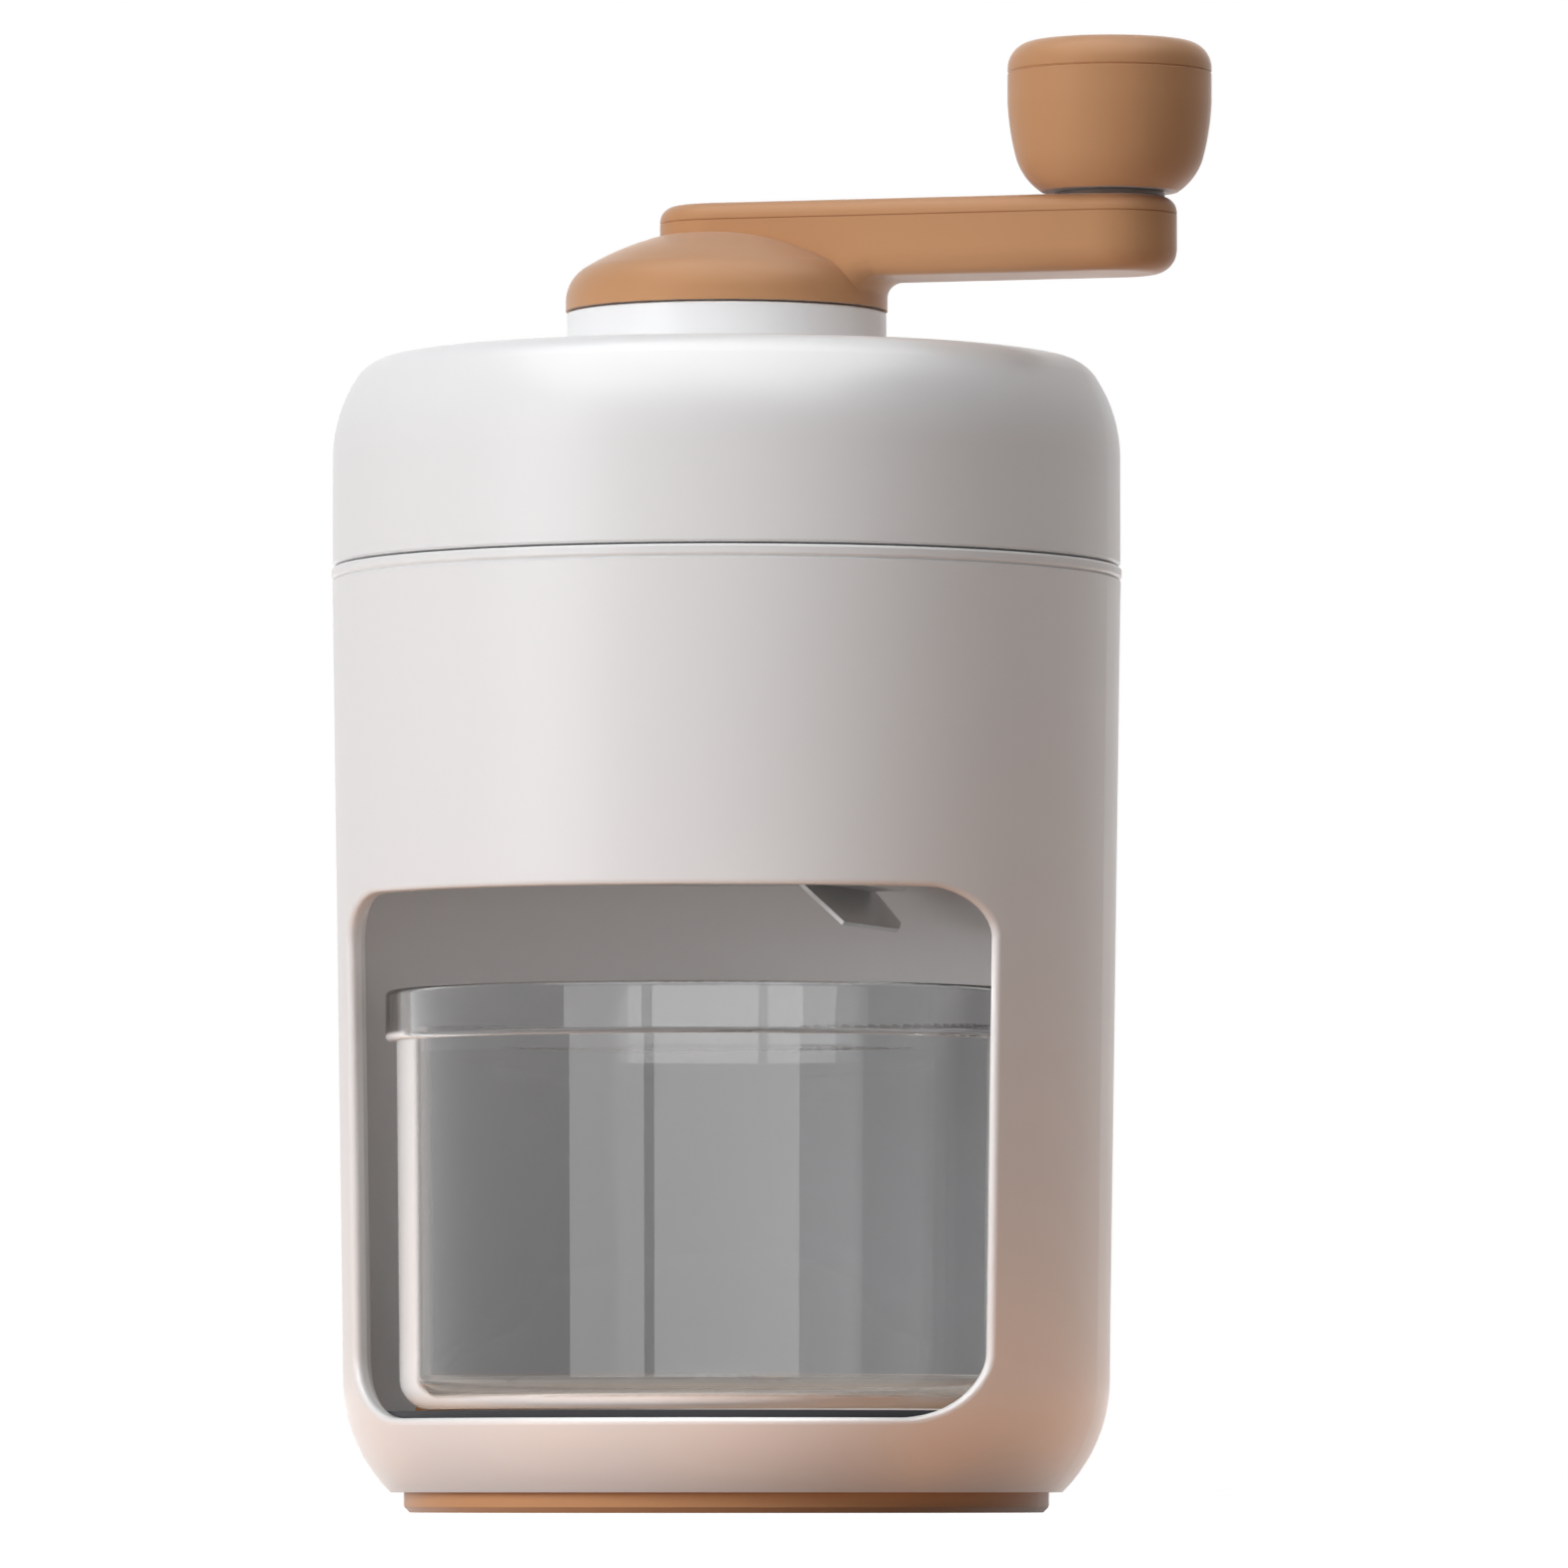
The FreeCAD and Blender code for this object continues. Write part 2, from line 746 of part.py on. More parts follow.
def make_ice_chamber():
    body = new_body("ice_chamber")
    outer = d.chamber_radius + d.chamber_wall
    ledge_top = d.chamber_low + d.ledge_height
    turned(body, "Hopper", [
        (d.chamber_radius, d.chamber_low),
        (d.disc_radius, d.chamber_low),
        (d.disc_radius, ledge_top),
        (outer, ledge_top),
        (outer, d.rim_height),
        (d.spigot_inner, d.rim_height),
        (d.spigot_inner, d.spigot_low),
        (d.spigot_outer, d.spigot_low),
        (d.spigot_outer, d.rim_height),
        (d.ring_radius, d.rim_height),
        (d.ring_radius, d.flange_top),
        (d.chamber_radius, d.flange_top)])
    bosses(body, "ScrewBoss", *disc_circle, d.disc_boss_radius, ledge_top - d.sink, d.disc_boss_height)
    boss_holes(body, "ScrewHole", *disc_circle, d.small_pilot, d.chamber_low, d.disc_pilot_depth)
    # notches that take the lid's keys
    half = d.notch_width / 2
    start, reach = d.chamber_radius - d.overrun, d.chamber_radius + d.notch_depth
    sketch = outline(sketch_on(body, "NotchSketch", "XY_Plane", d.flange_top), [
        (start, -half), (reach, -half), (reach, half), (start, half)])
    around(body, "Notches", [pocket(body, "Notch", sketch, d.notch_height)], 3)
    dress(body, "RingChamfer", "Chamfer", d.seam_chamfer,
          any_of(circle_at(d.ring_radius, d.rim_height), circle_at(d.ring_radius, d.flange_top)))


SLOPE = math.radians(SIZES["blade_slope"])


def on_blade_plane(height):
    """Where the blade's upper face is at a height."""
    return d.blade_foot_x - (height - d.blade_foot_z) / math.tan(SLOPE)


def make_blade_disc():
    body = new_body("blade_disc")
    low, high = d.chamber_low - d.disc_thickness, d.chamber_low
    turned(body, "Disc", [(ZERO, low), (d.disc_radius, low), (d.disc_radius, high), (ZERO, high)])
    # wedge under the disc, whose slanted side is the blade's seat
    near = d.blade_near - d.mouth_margin
    run = d.blade_length + d.mouth_margin * 2
    wedge_top = low + d.sink
    seat_left = on_blade_plane(d.seat_low)
    sketch = outline(sketch_on(body, "SeatSketch", "XZ_Plane", -(near + d.seat_length)), [
        (seat_left, d.seat_low),
        (seat_left + d.seat_low_width, d.seat_low),
        (seat_left + d.seat_high_width, wedge_top),
        (on_blade_plane(wedge_top), wedge_top)])
    pad(body, "Seat", sketch, d.seat_length)
    above, below = high + d.overrun, low - d.overrun
    sketch = outline(sketch_on(body, "MouthSketch", "XZ_Plane", -(near + run)), [
        (d.mouth_left, below), (on_blade_plane(below), below),
        (on_blade_plane(above), above), (d.mouth_left, above)])
    pocket(body, "Mouth", sketch, run, reverse=True)
    boss_holes(body, "ScrewPassage", *disc_circle, d.small_passage, low - d.sink,
               d.disc_thickness + d.overrun)
    screw_circle("disc_screws", *disc_circle, low,
                 d.small_head, d.small_head_height, d.small_shank, d.disc_screw_length)


def blade_frame(item):
    """Places a piece drawn with X up the blade, Y along it and Z out of its lower face."""
    bind(item, "Placement.Base.x", d.blade_foot_x)
    bind(item, "Placement.Base.y", d.blade_near)
    bind(item, "Placement.Base.z", d.blade_foot_z)
    item.Placement = Placement(item.Placement.Base, Rotation(Vector(0, 1, 0), SIZES["blade_slope"] - 180))


def make_blade():
    body = new_body("blade")
    # the hanging corner at the back is cut off at two slants
    sketch = outline(sketch_on(body, "PlateSketch", "XY_Plane"), [
        (ZERO, ZERO), (d.blade_width, ZERO), (d.blade_width, d.blade_length),
        (d.blade_clip_high, d.blade_length), (d.blade_clip_rise, d.blade_clip_bend),
        (ZERO, d.blade_clip_low)])
    pad(body, "Plate", sketch, d.blade_thickness)
    # grinding that leaves the edge on the upper face
    ground, outside = d.blade_width - d.blade_bevel, d.blade_width + d.overrun
    beyond = d.blade_thickness + d.overrun
    sketch = outline(sketch_on(body, "BevelSketch", "XZ_Plane", -(d.blade_length + d.overrun)), [
        (ground, d.blade_thickness), (d.blade_width, d.blade_edge),
        (outside, d.blade_edge), (outside, beyond), (ground, beyond)])
    pocket(body, "Bevel", sketch, d.blade_length + d.overrun * 2, reverse=True)
    sketch = sketch_on(body, "HoleSketch", "XY_Plane")
    for along in blade_screws_along:
        ring(sketch, d.blade_screw_place, along, d.screw_passage)
    pocket(body, "Holes", sketch, beyond, reverse=True)
    blade_frame(body)


def make_blade_screws():
    items = []
    up_slope = Rotation(Vector(0, 1, 0), SIZES["blade_slope"] - 180)
    for number, along in enumerate(blade_screws_along, start=1):
        item = screw(f"blade_screw{number}", d.blade_screw_head, d.blade_screw_head_height,
                     d.screw_shank, d.blade_thickness + d.blade_screw_depth)
        spot = up_slope.multVec(Vector(d.blade_screw_place.value, along.value, d.blade_thickness.value))
        turn = up_slope.multiply(Rotation(Vector(1, 0, 0), 180))
        foot = Vector(d.blade_foot_x.value, d.blade_near.value, d.blade_foot_z.value)
        item.Placement = Placement(foot + spot, turn)
        items.append(item)
    group("blade_screws", items)


def drill_blade_seat():
    """Pilot holes in the blade's seat, square to the blade."""
    disc = next(item for item in parts if item.Label == "blade_disc")
    for number, along in enumerate(blade_screws_along, start=1):
        sketch = disc.newObject("Sketcher::SketchObject", f"PilotSketch{number}")
        sketch.AttachmentSupport = [(origin_feature(disc, "XY_Plane"), "")]
        sketch.MapMode = "FlatFace"
        tilt = Rotation(Vector(0, 1, 0), SIZES["blade_slope"] - 180)
        spot = tilt.multVec(Vector(d.blade_screw_place.value, along.value, 0))
        foot = Vector(d.blade_foot_x.value, d.blade_near.value, d.blade_foot_z.value)
        sketch.AttachmentOffset = Placement(foot + spot, tilt)
        ring(sketch, 0, 0, d.screw_pilot)
        pocket(disc, f"Pilot{number}", sketch, d.blade_screw_depth + d.seat_gap)


# ---- lid ---------------------------------------------------------------------------------------

def lid_profile(inset):
    """Side and shoulder of the lid, taken in by inset: two arcs that run into each other."""
    small, big = d.shoulder_bend, d.side_bend
    big_centre = d.lid_radius - big
    small_height = d.lid_top - small
    rise = drop(big - small, d.crown_reach - big_centre)
    side_top = small_height - rise
    scale = (big - inset) / (big - small)
    meet = (big_centre + (d.crown_reach - big_centre) * scale, side_top + rise * scale)
    return side_top, meet, (d.crown_reach, d.lid_top - inset)


def make_lid_shell():
    body = new_body("lid_shell")
    side_top, meet, crown = lid_profile(ZERO)
    _, inner_meet, inner_crown = lid_profile(d.lid_wall)
    turned(body, "Cover", [
        (d.lid_radius, d.lid_low),
        (d.lid_radius, side_top, d.side_bend),
        (*meet, d.shoulder_bend),
        crown,
        (d.lid_hole, d.lid_top),
        (d.lid_hole, d.lid_top - d.lid_wall),
        (*inner_crown, -(d.shoulder_bend - d.lid_wall)),
        (*inner_meet, -(d.side_bend - d.lid_wall)),
        (d.lid_radius - d.lid_wall, side_top),
        (d.lid_radius - d.lid_wall, d.lid_low)])
    dress(body, "RimChamfer", "Chamfer", d.seam_chamfer, circle_at(d.lid_radius, d.lid_low))


def make_lid_liner():
    body = new_body("lid_liner")
    top = d.lid_top - d.lid_wall
    flange_top = d.liner_flange_low + d.liner_flange
    bore = d.bush_radius + d.press_gap
    turned(body, "Cup", [
        (d.liner_bore, d.liner_low),
        (d.liner_outer, d.liner_low),
        (d.liner_outer, d.liner_flange_low),
        (d.liner_flange_outer, d.liner_flange_low),
        (d.liner_flange_outer, flange_top),
        (d.liner_outer, flange_top),
        (d.liner_outer, top),
        (bore, top),
        (bore, top - d.liner_plate),
        (d.liner_bore, top - d.liner_plate)])
    half = d.key_width / 2
    start = d.liner_outer - d.overrun
    key_low = d.flange_top - d.key_height
    sketch = outline(sketch_on(body, "KeySketch", "XY_Plane", key_low), [
        (start, -half), (d.key_reach, -half), (d.key_reach, half), (start, half)])
    around(body, "Keys", [pad(body, "Key", sketch, d.key_height)], 3)
    boss_holes(body, "ScrewPassage", *collar_circle, d.screw_passage, top - d.liner_plate - d.sink,
               d.liner_plate + d.overrun)
    screw_circle("collar_screws", *collar_circle, top - d.liner_plate,
                 d.screw_head, d.screw_head_height, d.screw_shank, d.collar_screw_length)


def make_neck_collar():
    body = new_body("neck_collar")
    wall_inner = d.collar_radius - d.collar_wall
    plate_low = d.collar_top - d.collar_plate
    bore = d.bush_radius + d.press_gap
    tube = d.bush_radius + d.collar_tube_wall
    liner_top = d.lid_top - d.lid_wall
    seat = d.thrust_radius + d.seat_gap * 2
    turned(body, "Collar", [
        (bore, liner_top),
        (tube, liner_top),
        (tube, plate_low),
        (wall_inner, plate_low),
        (wall_inner, d.lid_top),
        (d.collar_radius, d.lid_top),
        (d.collar_radius, d.collar_top),
        (seat, d.collar_top),
        (seat, thrust_low),
        (bore, thrust_low)])
    bosses(body, "ScrewBoss", *collar_circle, d.collar_boss_radius, liner_top, plate_low - liner_top + d.sink)
    boss_holes(body, "ScrewHole", *collar_circle, d.screw_pilot, liner_top, d.collar_pilot_depth)
    dress(body, "TopEdge", "Fillet", d.collar_edge, circle_at(d.collar_radius, d.collar_top))


def make_shaft_bush():
    body = new_body("shaft_bush")
    liner_low = d.lid_top - d.lid_wall - d.liner_plate
    bore = d.journal_radius + d.running_gap
    turned(body, "Bush", [
        (bore, liner_low - d.bush_flange),
        (d.bush_flange_radius, liner_low - d.bush_flange),
        (d.bush_flange_radius, liner_low),
        (d.bush_radius, liner_low),
        (d.bush_radius, thrust_low),
        (bore, thrust_low)])


def washer(label, inner, outer, low, thickness):
    body = new_body(label)
    turned(body, "Washer", [(inner, low), (outer, low), (outer, low + thickness), (inner, low + thickness)])
    return body


# ---- drive shaft and presser -------------------------------------------------------------------

def make_drive_shaft():
    body = new_body("drive_shaft")
    washer_low = d.clip_low - d.stop_thickness
    slide = hexagon(sketch_on(body, "SlideSketch", "XY_Plane", d.shaft_low), d.hex_flats)
    pad(body, "SlideHex", slide, washer_low - d.shaft_low)
    journal = ring(sketch_on(body, "JournalSketch", "XY_Plane", washer_low), 0, 0, d.journal_radius)
    pad(body, "Journal", journal, d.drive_low - washer_low)
    drive = hexagon(sketch_on(body, "DriveSketch", "XY_Plane", d.drive_low), d.hex_flats)
    pad(body, "DriveHex", drive, d.shaft_high - d.drive_low)
    groove_top = d.clip_low + d.clip_thickness
    turned(body, "ClipGroove", [
        (d.clip_inner, d.clip_low), (d.journal_radius + d.overrun, d.clip_low),
        (d.journal_radius + d.overrun, groove_top), (d.clip_inner, groove_top)], cut=True)
    low_bore = ring(sketch_on(body, "LowBoreSketch", "XY_Plane", d.shaft_low), 0, 0, d.screw_pilot)
    pocket(body, "LowBore", low_bore, d.low_bore_depth, reverse=True)
    high_bore = ring(sketch_on(body, "HighBoreSketch", "XY_Plane", d.shaft_high), 0, 0, d.high_bore_radius)
    pocket(body, "HighBore", high_bore, d.high_bore_depth)


def make_shaft_clip():
    body = new_body("shaft_clip")
    turned(body, "Ring", [
        (d.clip_inner, d.clip_low), (d.clip_outer, d.clip_low),
        (d.clip_outer, d.clip_low + d.clip_thickness), (d.clip_inner, d.clip_low + d.clip_thickness)])
    half, outside = d.clip_gap_half, d.clip_outer + d.overrun
    sketch = outline(sketch_on(body, "GapSketch", "XY_Plane", d.clip_low - d.overrun), [
        (ZERO, -half), (outside, -half), (outside, half), (ZERO, half)])
    pocket(body, "Gap", sketch, d.clip_thickness + d.overrun * 2, reverse=True)


def make_presser_plate():
    body = new_body("presser_plate")
    top = d.presser_low + d.presser_thickness
    rib_top = top + d.rib_height
    rim_inner = d.presser_radius - d.presser_rim
    turned(body, "Plate", [
        (ZERO, d.presser_low),
        (d.presser_radius, d.presser_low),
        (d.presser_radius, rib_top),
        (rim_inner, rib_top),
        (rim_inner, top),
        (d.sleeve_radius, top),
        (d.sleeve_radius, d.sleeve_top),
        (ZERO, d.sleeve_top)])
    half = d.rib_width / 2
    rib_start, rib_end = d.spring_radius + d.wire_radius + d.rib_gap, rim_inner + d.sink
    sketch = outline(sketch_on(body, "RibSketch", "XY_Plane", top - d.sink), [
        (rib_start, -half), (rib_end, -half), (rib_end, half), (rib_start, half)])
    around(body, "Ribs", [pad(body, "Rib", sketch, d.rib_height + d.sink)], 6)
    for name, circle, count in (("Outer", d.outer_spike_circle, 8), ("Inner", d.inner_spike_circle, 6)):
        spike = body.newObject("PartDesign::AdditiveCone", name + "Spike")
        spike.AttachmentSupport = [(origin_feature(body, "XY_Plane"), "")]
        spike.MapMode = "FlatFace"
        bind(spike, "AttachmentOffset.Base.x", circle)
        bind(spike, "AttachmentOffset.Base.z", d.presser_low - d.spike_height)
        bind(spike, "Radius1", d.spike_tip)
        bind(spike, "Radius2", d.spike_radius)
        bind(spike, "Height", d.spike_height + d.sink)
        around(body, name + "Spikes", [spike], count)
    bore = hexagon(sketch_on(body, "BoreSketch", "XY_Plane", d.presser_low - d.overrun),
                   d.hex_flats + d.running_gap * 2)
    pocket(body, "Bore", bore, d.sleeve_top - d.presser_low + d.overrun * 2, reverse=True)


def make_presser_spring():
    low = d.presser_low + d.presser_thickness + d.wire_radius
    high = d.clip_low - d.stop_thickness - d.wire_radius
    helix = doc.addObject("Part::Helix", "SpringPath")
    bind(helix, "Height", high - low)
    bind(helix, "Pitch", (high - low) / d.spring_turns)
    bind(helix, "Radius", d.spring_radius)
    bind(helix, "Placement.Base.z", low)
    wire = doc.addObject("Part::Circle", "SpringWire")
    bind(wire, "Radius", d.wire_radius)
    wire.Placement = Placement(Vector(d.spring_radius.value, 0, low.value), Rotation(Vector(1, 0, 0), 90))
    spring = doc.addObject("Part::Sweep", "presser_spring")
    spring.Label = "presser_spring"
    spring.Sections = [wire]
    spring.Spine = (helix, [])
    spring.Solid = True
    spring.Frenet = True
    parts.append(spring)


def make_stop_screw():
    item = screw("stop_screw", d.screw_head, d.screw_head_height, d.screw_shank,
                 d.stop_thickness + d.stop_screw_depth)
    place(item, up=d.shaft_low - d.stop_thickness)
    parts.append(item)


# ---- crank and knob ----------------------------------------------------------------------------

def make_crank_arm():
    body = new_body("crank_arm")
    bar = sketch_on(body, "ArmSketch", "XY_Plane", d.arm_low)
    outline(bar, stadium(ZERO, d.arm_half, d.arm_reach))
    pad(body, "Arm", bar, d.arm_seam - d.arm_low)
    # the arm's root stands on the hub's rim and bends into the arm
    edge = drop(d.hub_radius, d.arm_half)
    foot = outline(sketch_on(body, "RootSketch", "XY_Plane", d.hub_low), [
        (ZERO, -d.arm_half), (edge, -d.arm_half, d.hub_radius), (edge, d.arm_half),
        (ZERO, d.arm_half, d.arm_half)])
    pad(body, "Root", foot, d.arm_seam - d.hub_low)
    dress(body, "RootBend", "Fillet", d.arm_root_bend, circle_at(d.hub_radius, d.arm_low))
    dress(body, "ArmUnderside", "Fillet", d.arm_low_fillet, at_height(d.arm_low))
    # side and dome of the hub, with the round edge between them
    dome_centre = d.dome_top - d.dome_radius
    bend_reach = d.hub_radius - d.hub_fillet
    bend_height = dome_centre + drop(d.dome_radius - d.hub_fillet, bend_reach)
    stretch = d.dome_radius / (d.dome_radius - d.hub_fillet)
    turned(body, "Hub", [
        (ZERO, d.hub_low),
        (d.hub_radius, d.hub_low),
        (d.hub_radius, bend_height, d.hub_fillet),
        (bend_reach * stretch, dome_centre + (bend_height - dome_centre) * stretch, d.dome_radius),
        (ZERO, d.dome_top)])
    turned(body, "Coring", [
        (d.core_inner, d.hub_low - d.overrun), (d.core_outer, d.hub_low - d.overrun),
        (d.core_outer, d.hub_low + d.core_depth), (d.core_inner, d.hub_low + d.core_depth)], cut=True)
    channel = outline(sketch_on(body, "ChannelSketch", "XY_Plane", d.arm_seam), [
        (d.channel_start, -d.channel_half), (d.channel_end, -d.channel_half),
        (d.channel_end, d.channel_half), (d.channel_start, d.channel_half)])
    pocket(body, "Channel", channel, d.arm_seam - d.channel_low)
    drive = hexagon(sketch_on(body, "DriveSketch", "XY_Plane", d.hub_low), d.hex_flats + d.running_gap * 2)
    pocket(body, "DriveSocket", drive, d.shaft_high - d.hub_low + d.seat_gap, reverse=True)
    passage = ring(sketch_on(body, "PassageSketch", "XY_Plane", d.arm_seam), 0, 0, d.hub_screw_passage)
    pocket(body, "ScrewPassage", passage, d.arm_seam - d.shaft_high + d.overrun)
    recess = ring(sketch_on(body, "RecessSketch", "XY_Plane", d.arm_seam), 0, 0, d.hub_recess_radius)
    pocket(body, "ScrewRecess", recess, d.hub_recess_depth)
    pin_hole = ring(sketch_on(body, "PinHoleSketch", "XY_Plane", d.arm_seam), d.arm_reach, 0, d.pin_thread)
    pocket(body, "PinHole", pin_hole, d.arm_seam - d.pin_low)


def make_arm_cover():
    body = new_body("arm_cover")
    bar = sketch_on(body, "CoverSketch", "XY_Plane", d.arm_seam)
    outline(bar, stadium(ZERO, d.arm_half, d.arm_reach))
    pad(body, "Cover", bar, d.arm_top - d.arm_seam)
    gap = d.seat_gap
    plug = outline(sketch_on(body, "PlugSketch", "XY_Plane", d.arm_seam), [
        (d.channel_start + gap, -(d.channel_half - gap)), (d.channel_end - gap, -(d.channel_half - gap)),
        (d.channel_end - gap, d.channel_half - gap), (d.channel_start + gap, d.channel_half - gap)])
    pad(body, "Plug", plug, d.cover_plug, reverse=True)
    hole = sketch_on(body, "PinSketch", "XY_Plane", d.arm_top)
    ring(hole, d.arm_reach, 0, d.pin_radius + d.seat_gap)
    pocket(body, "PinPassage", hole, d.arm_top - d.arm_seam + d.overrun)

    def on_rim(height):
        return lambda edge: at_height(height)(edge) and abs(abs(edge.Vertexes[0].Y) - d.arm_half.value) < 0.01

    dress(body, "TopEdge", "Fillet", d.arm_top_fillet, on_rim(d.arm_top))
    dress(body, "SeamEdge", "Chamfer", d.fine_seam, on_rim(d.arm_seam))


def make_hub_screw():
    item = screw("hub_screw", d.hub_screw_head, d.hub_screw_head_height,
                 d.hub_screw_shank, d.hub_screw_length)
    bind(item, "Placement.Base.z", d.arm_seam - d.hub_recess_depth)
    item.Placement = Placement(item.Placement.Base, Rotation(Vector(1, 0, 0), 180))
    parts.append(item)


def make_knob_pin():
    body = new_body("knob_pin")
    head_low = d.knob_socket_low + d.pin_gap
    thread = d.pin_thread - d.press_gap
    turned(body, "Pin", [
        (ZERO, d.pin_low),
        (thread, d.pin_low),
        (thread, d.arm_seam),
        (d.pin_radius, d.arm_seam),
        (d.pin_radius, head_low),
        (d.pin_head_radius, head_low),
        (d.pin_head_radius, head_low + d.pin_head),
        (ZERO, head_low + d.pin_head)])
    key = hexagon(sketch_on(body, "KeySketch", "XY_Plane", head_low + d.pin_head), d.pin_key)
    pocket(body, "KeySocket", key, d.pin_key_depth)
    place(body, d.arm_reach)


def make_knob_body():
    body = new_body("knob_body")
    bore = d.pin_radius + d.running_gap
    turned(body, "Barrel", [
        (bore, d.knob_low),
        (d.knob_base_radius, d.knob_low, d.knob_low_bend),
        (d.knob_bend_radius, d.knob_bend_height, d.knob_side_bend),
        (d.knob_radius, d.knob_full_height),
        (d.knob_radius, d.knob_seam),
        (d.knob_socket, d.knob_seam),
        (d.knob_socket, d.knob_socket_low),
        (bore, d.knob_socket_low)])
    dress(body, "SeamEdge", "Chamfer", d.fine_seam, circle_at(d.knob_radius, d.knob_seam))
    place(body, d.arm_reach)


def make_knob_cap():
    body = new_body("knob_cap")
    spigot = d.knob_socket - d.seat_gap
    spigot_low = d.knob_seam - d.cap_spigot
    turned(body, "Cap", [
        (ZERO, d.knob_seam),
        (spigot - d.cap_spigot_wall, d.knob_seam),
        (spigot - d.cap_spigot_wall, spigot_low),
        (spigot, spigot_low),
        (spigot, d.knob_seam),
        (d.knob_radius, d.knob_seam),
        (d.knob_radius, d.knob_top),
        (ZERO, d.knob_top)])
    dress(body, "TopEdge", "Fillet", d.knob_top_fillet, circle_at(d.knob_radius, d.knob_top))
    dress(body, "SeamEdge", "Chamfer", d.fine_seam, circle_at(d.knob_radius, d.knob_seam))
    place(body, d.arm_reach)


# ---- cup ---------------------------------------------------------------------------------------

def make_cup():
    body = new_body("cup")
    floor_top = d.cup_low + d.cup_floor
    turned(body, "Wall", [
        (ZERO, d.cup_low + d.cup_recess),
        (d.cup_recess_radius, d.cup_low + d.cup_recess),
        (d.cup_recess_radius + d.cup_recess, d.cup_low),
        (d.cup_low_radius, d.cup_low),
        (d.cup_wall_radius, d.band_low),
        (d.band_radius, d.band_low),
        (d.band_radius, d.cup_top),
        (d.band_bore, d.cup_top),
        (d.cup_wall_radius - d.cup_wall, d.band_low - d.band_ease),
        (d.cup_low_radius - d.cup_wall, floor_top),
        (ZERO, floor_top)])
    dress(body, "OuterCorner", "Fillet", d.cup_corner, circle_at(d.cup_low_radius, d.cup_low))
    dress(body, "InnerCorner", "Fillet", d.cup_corner - d.cup_wall,
          circle_at(d.cup_low_radius - d.cup_wall, floor_top))
    dress(body, "LipEdges", "Fillet", d.cup_edge,
          any_of(circle_at(d.band_radius, d.cup_top), circle_at(d.band_bore, d.cup_top),
                 circle_at(d.band_radius, d.band_low)))
    place(body, along=-d.cup_back)


make_body_shell()
make_bay_liner()
make_bay_floor()
make_foot_base()
make_grip_ring()
make_ice_chamber()
make_blade_disc()
drill_blade_seat()
make_blade()
make_blade_screws()
make_lid_shell()
make_lid_liner()
make_neck_collar()
make_shaft_bush()
washer("thrust_washer", d.journal_radius + d.washer_gap, d.thrust_radius, thrust_low, d.thrust_thickness)
make_crank_arm()
make_arm_cover()
make_drive_shaft()
make_hub_screw()
make_shaft_clip()
washer("spring_washer", d.journal_radius + d.washer_gap, d.spring_washer_radius,
       d.clip_low - d.stop_thickness, d.stop_thickness)
washer("stop_washer", d.screw_passage, d.stop_radius, d.shaft_low - d.stop_thickness, d.stop_thickness)
make_stop_screw()
make_knob_pin()
place(washer("knob_washer", d.pin_radius + d.washer_gap, d.knob_washer_radius, d.arm_top, d.knob_washer),
      d.arm_reach)
make_knob_body()
make_knob_cap()
make_presser_plate()
make_presser_spring()
make_cup()

doc.recompute()

for item in doc.Objects:
    if {"Invalid", "Error"} & set(item.State):
        raise RuntimeError(f"{item.Name} failed: {item.State}")
for item in cuts:
    if item.Shape.Volume > item.BaseFeature.Shape.Volume - 0.01:
        raise RuntimeError(f"{item.Name} of {item.getParentGeoFeatureGroup().Label} cuts nothing")
for item in parts:
    if item.Shape.isNull() or not item.Shape.isValid():
        raise RuntimeError(f"{item.Label} has no valid shape")

os.makedirs("parts", exist_ok=True)
for item in parts:
    item.Shape.exportStep(f"parts/{item.Label}.step")
    print(f"{item.Label}: {len(item.Shape.Solids)} solid(s), {item.Shape.Volume:.0f} mm3")
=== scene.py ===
import math

import bmesh
import bpy
from mathutils import Matrix, Vector


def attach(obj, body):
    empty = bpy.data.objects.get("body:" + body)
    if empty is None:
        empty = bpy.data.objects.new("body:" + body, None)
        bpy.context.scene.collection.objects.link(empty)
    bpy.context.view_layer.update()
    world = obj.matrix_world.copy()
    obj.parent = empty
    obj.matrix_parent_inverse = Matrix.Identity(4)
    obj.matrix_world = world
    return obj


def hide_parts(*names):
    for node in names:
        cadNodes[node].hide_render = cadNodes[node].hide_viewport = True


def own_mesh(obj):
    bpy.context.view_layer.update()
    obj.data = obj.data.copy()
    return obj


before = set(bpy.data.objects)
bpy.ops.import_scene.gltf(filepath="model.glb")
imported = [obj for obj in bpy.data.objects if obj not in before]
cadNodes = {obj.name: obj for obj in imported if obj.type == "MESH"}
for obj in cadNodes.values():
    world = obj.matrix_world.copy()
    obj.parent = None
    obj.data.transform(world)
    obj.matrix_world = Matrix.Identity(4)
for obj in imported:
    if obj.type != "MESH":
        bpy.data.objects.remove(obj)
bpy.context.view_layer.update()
scene = bpy.context.scene
print("frame loaded:", len(cadNodes), "nodes")


# azimuth runs from the front towards the crank's end
def aside(azimuth, elevation, distance):
    turn, rise = math.radians(azimuth), math.radians(elevation)
    flat = math.cos(rise)
    return Vector((math.sin(turn) * flat, -math.cos(turn) * flat, math.sin(rise))) * distance


def facing(direction):
    return direction.to_track_quat("-Z", "Y").to_euler()


# far off and almost on the floor
shot = {
    "azimuth": 16.5,
    "distance": 2.38,
    "height": 0.003,
    "pitch": 2.806,     # degrees up
    "yaw": 0.227,       # degrees to the right
    "lens": 332.7,
    "sensor": 36.0,
    "clip": (0.1, 40),
}


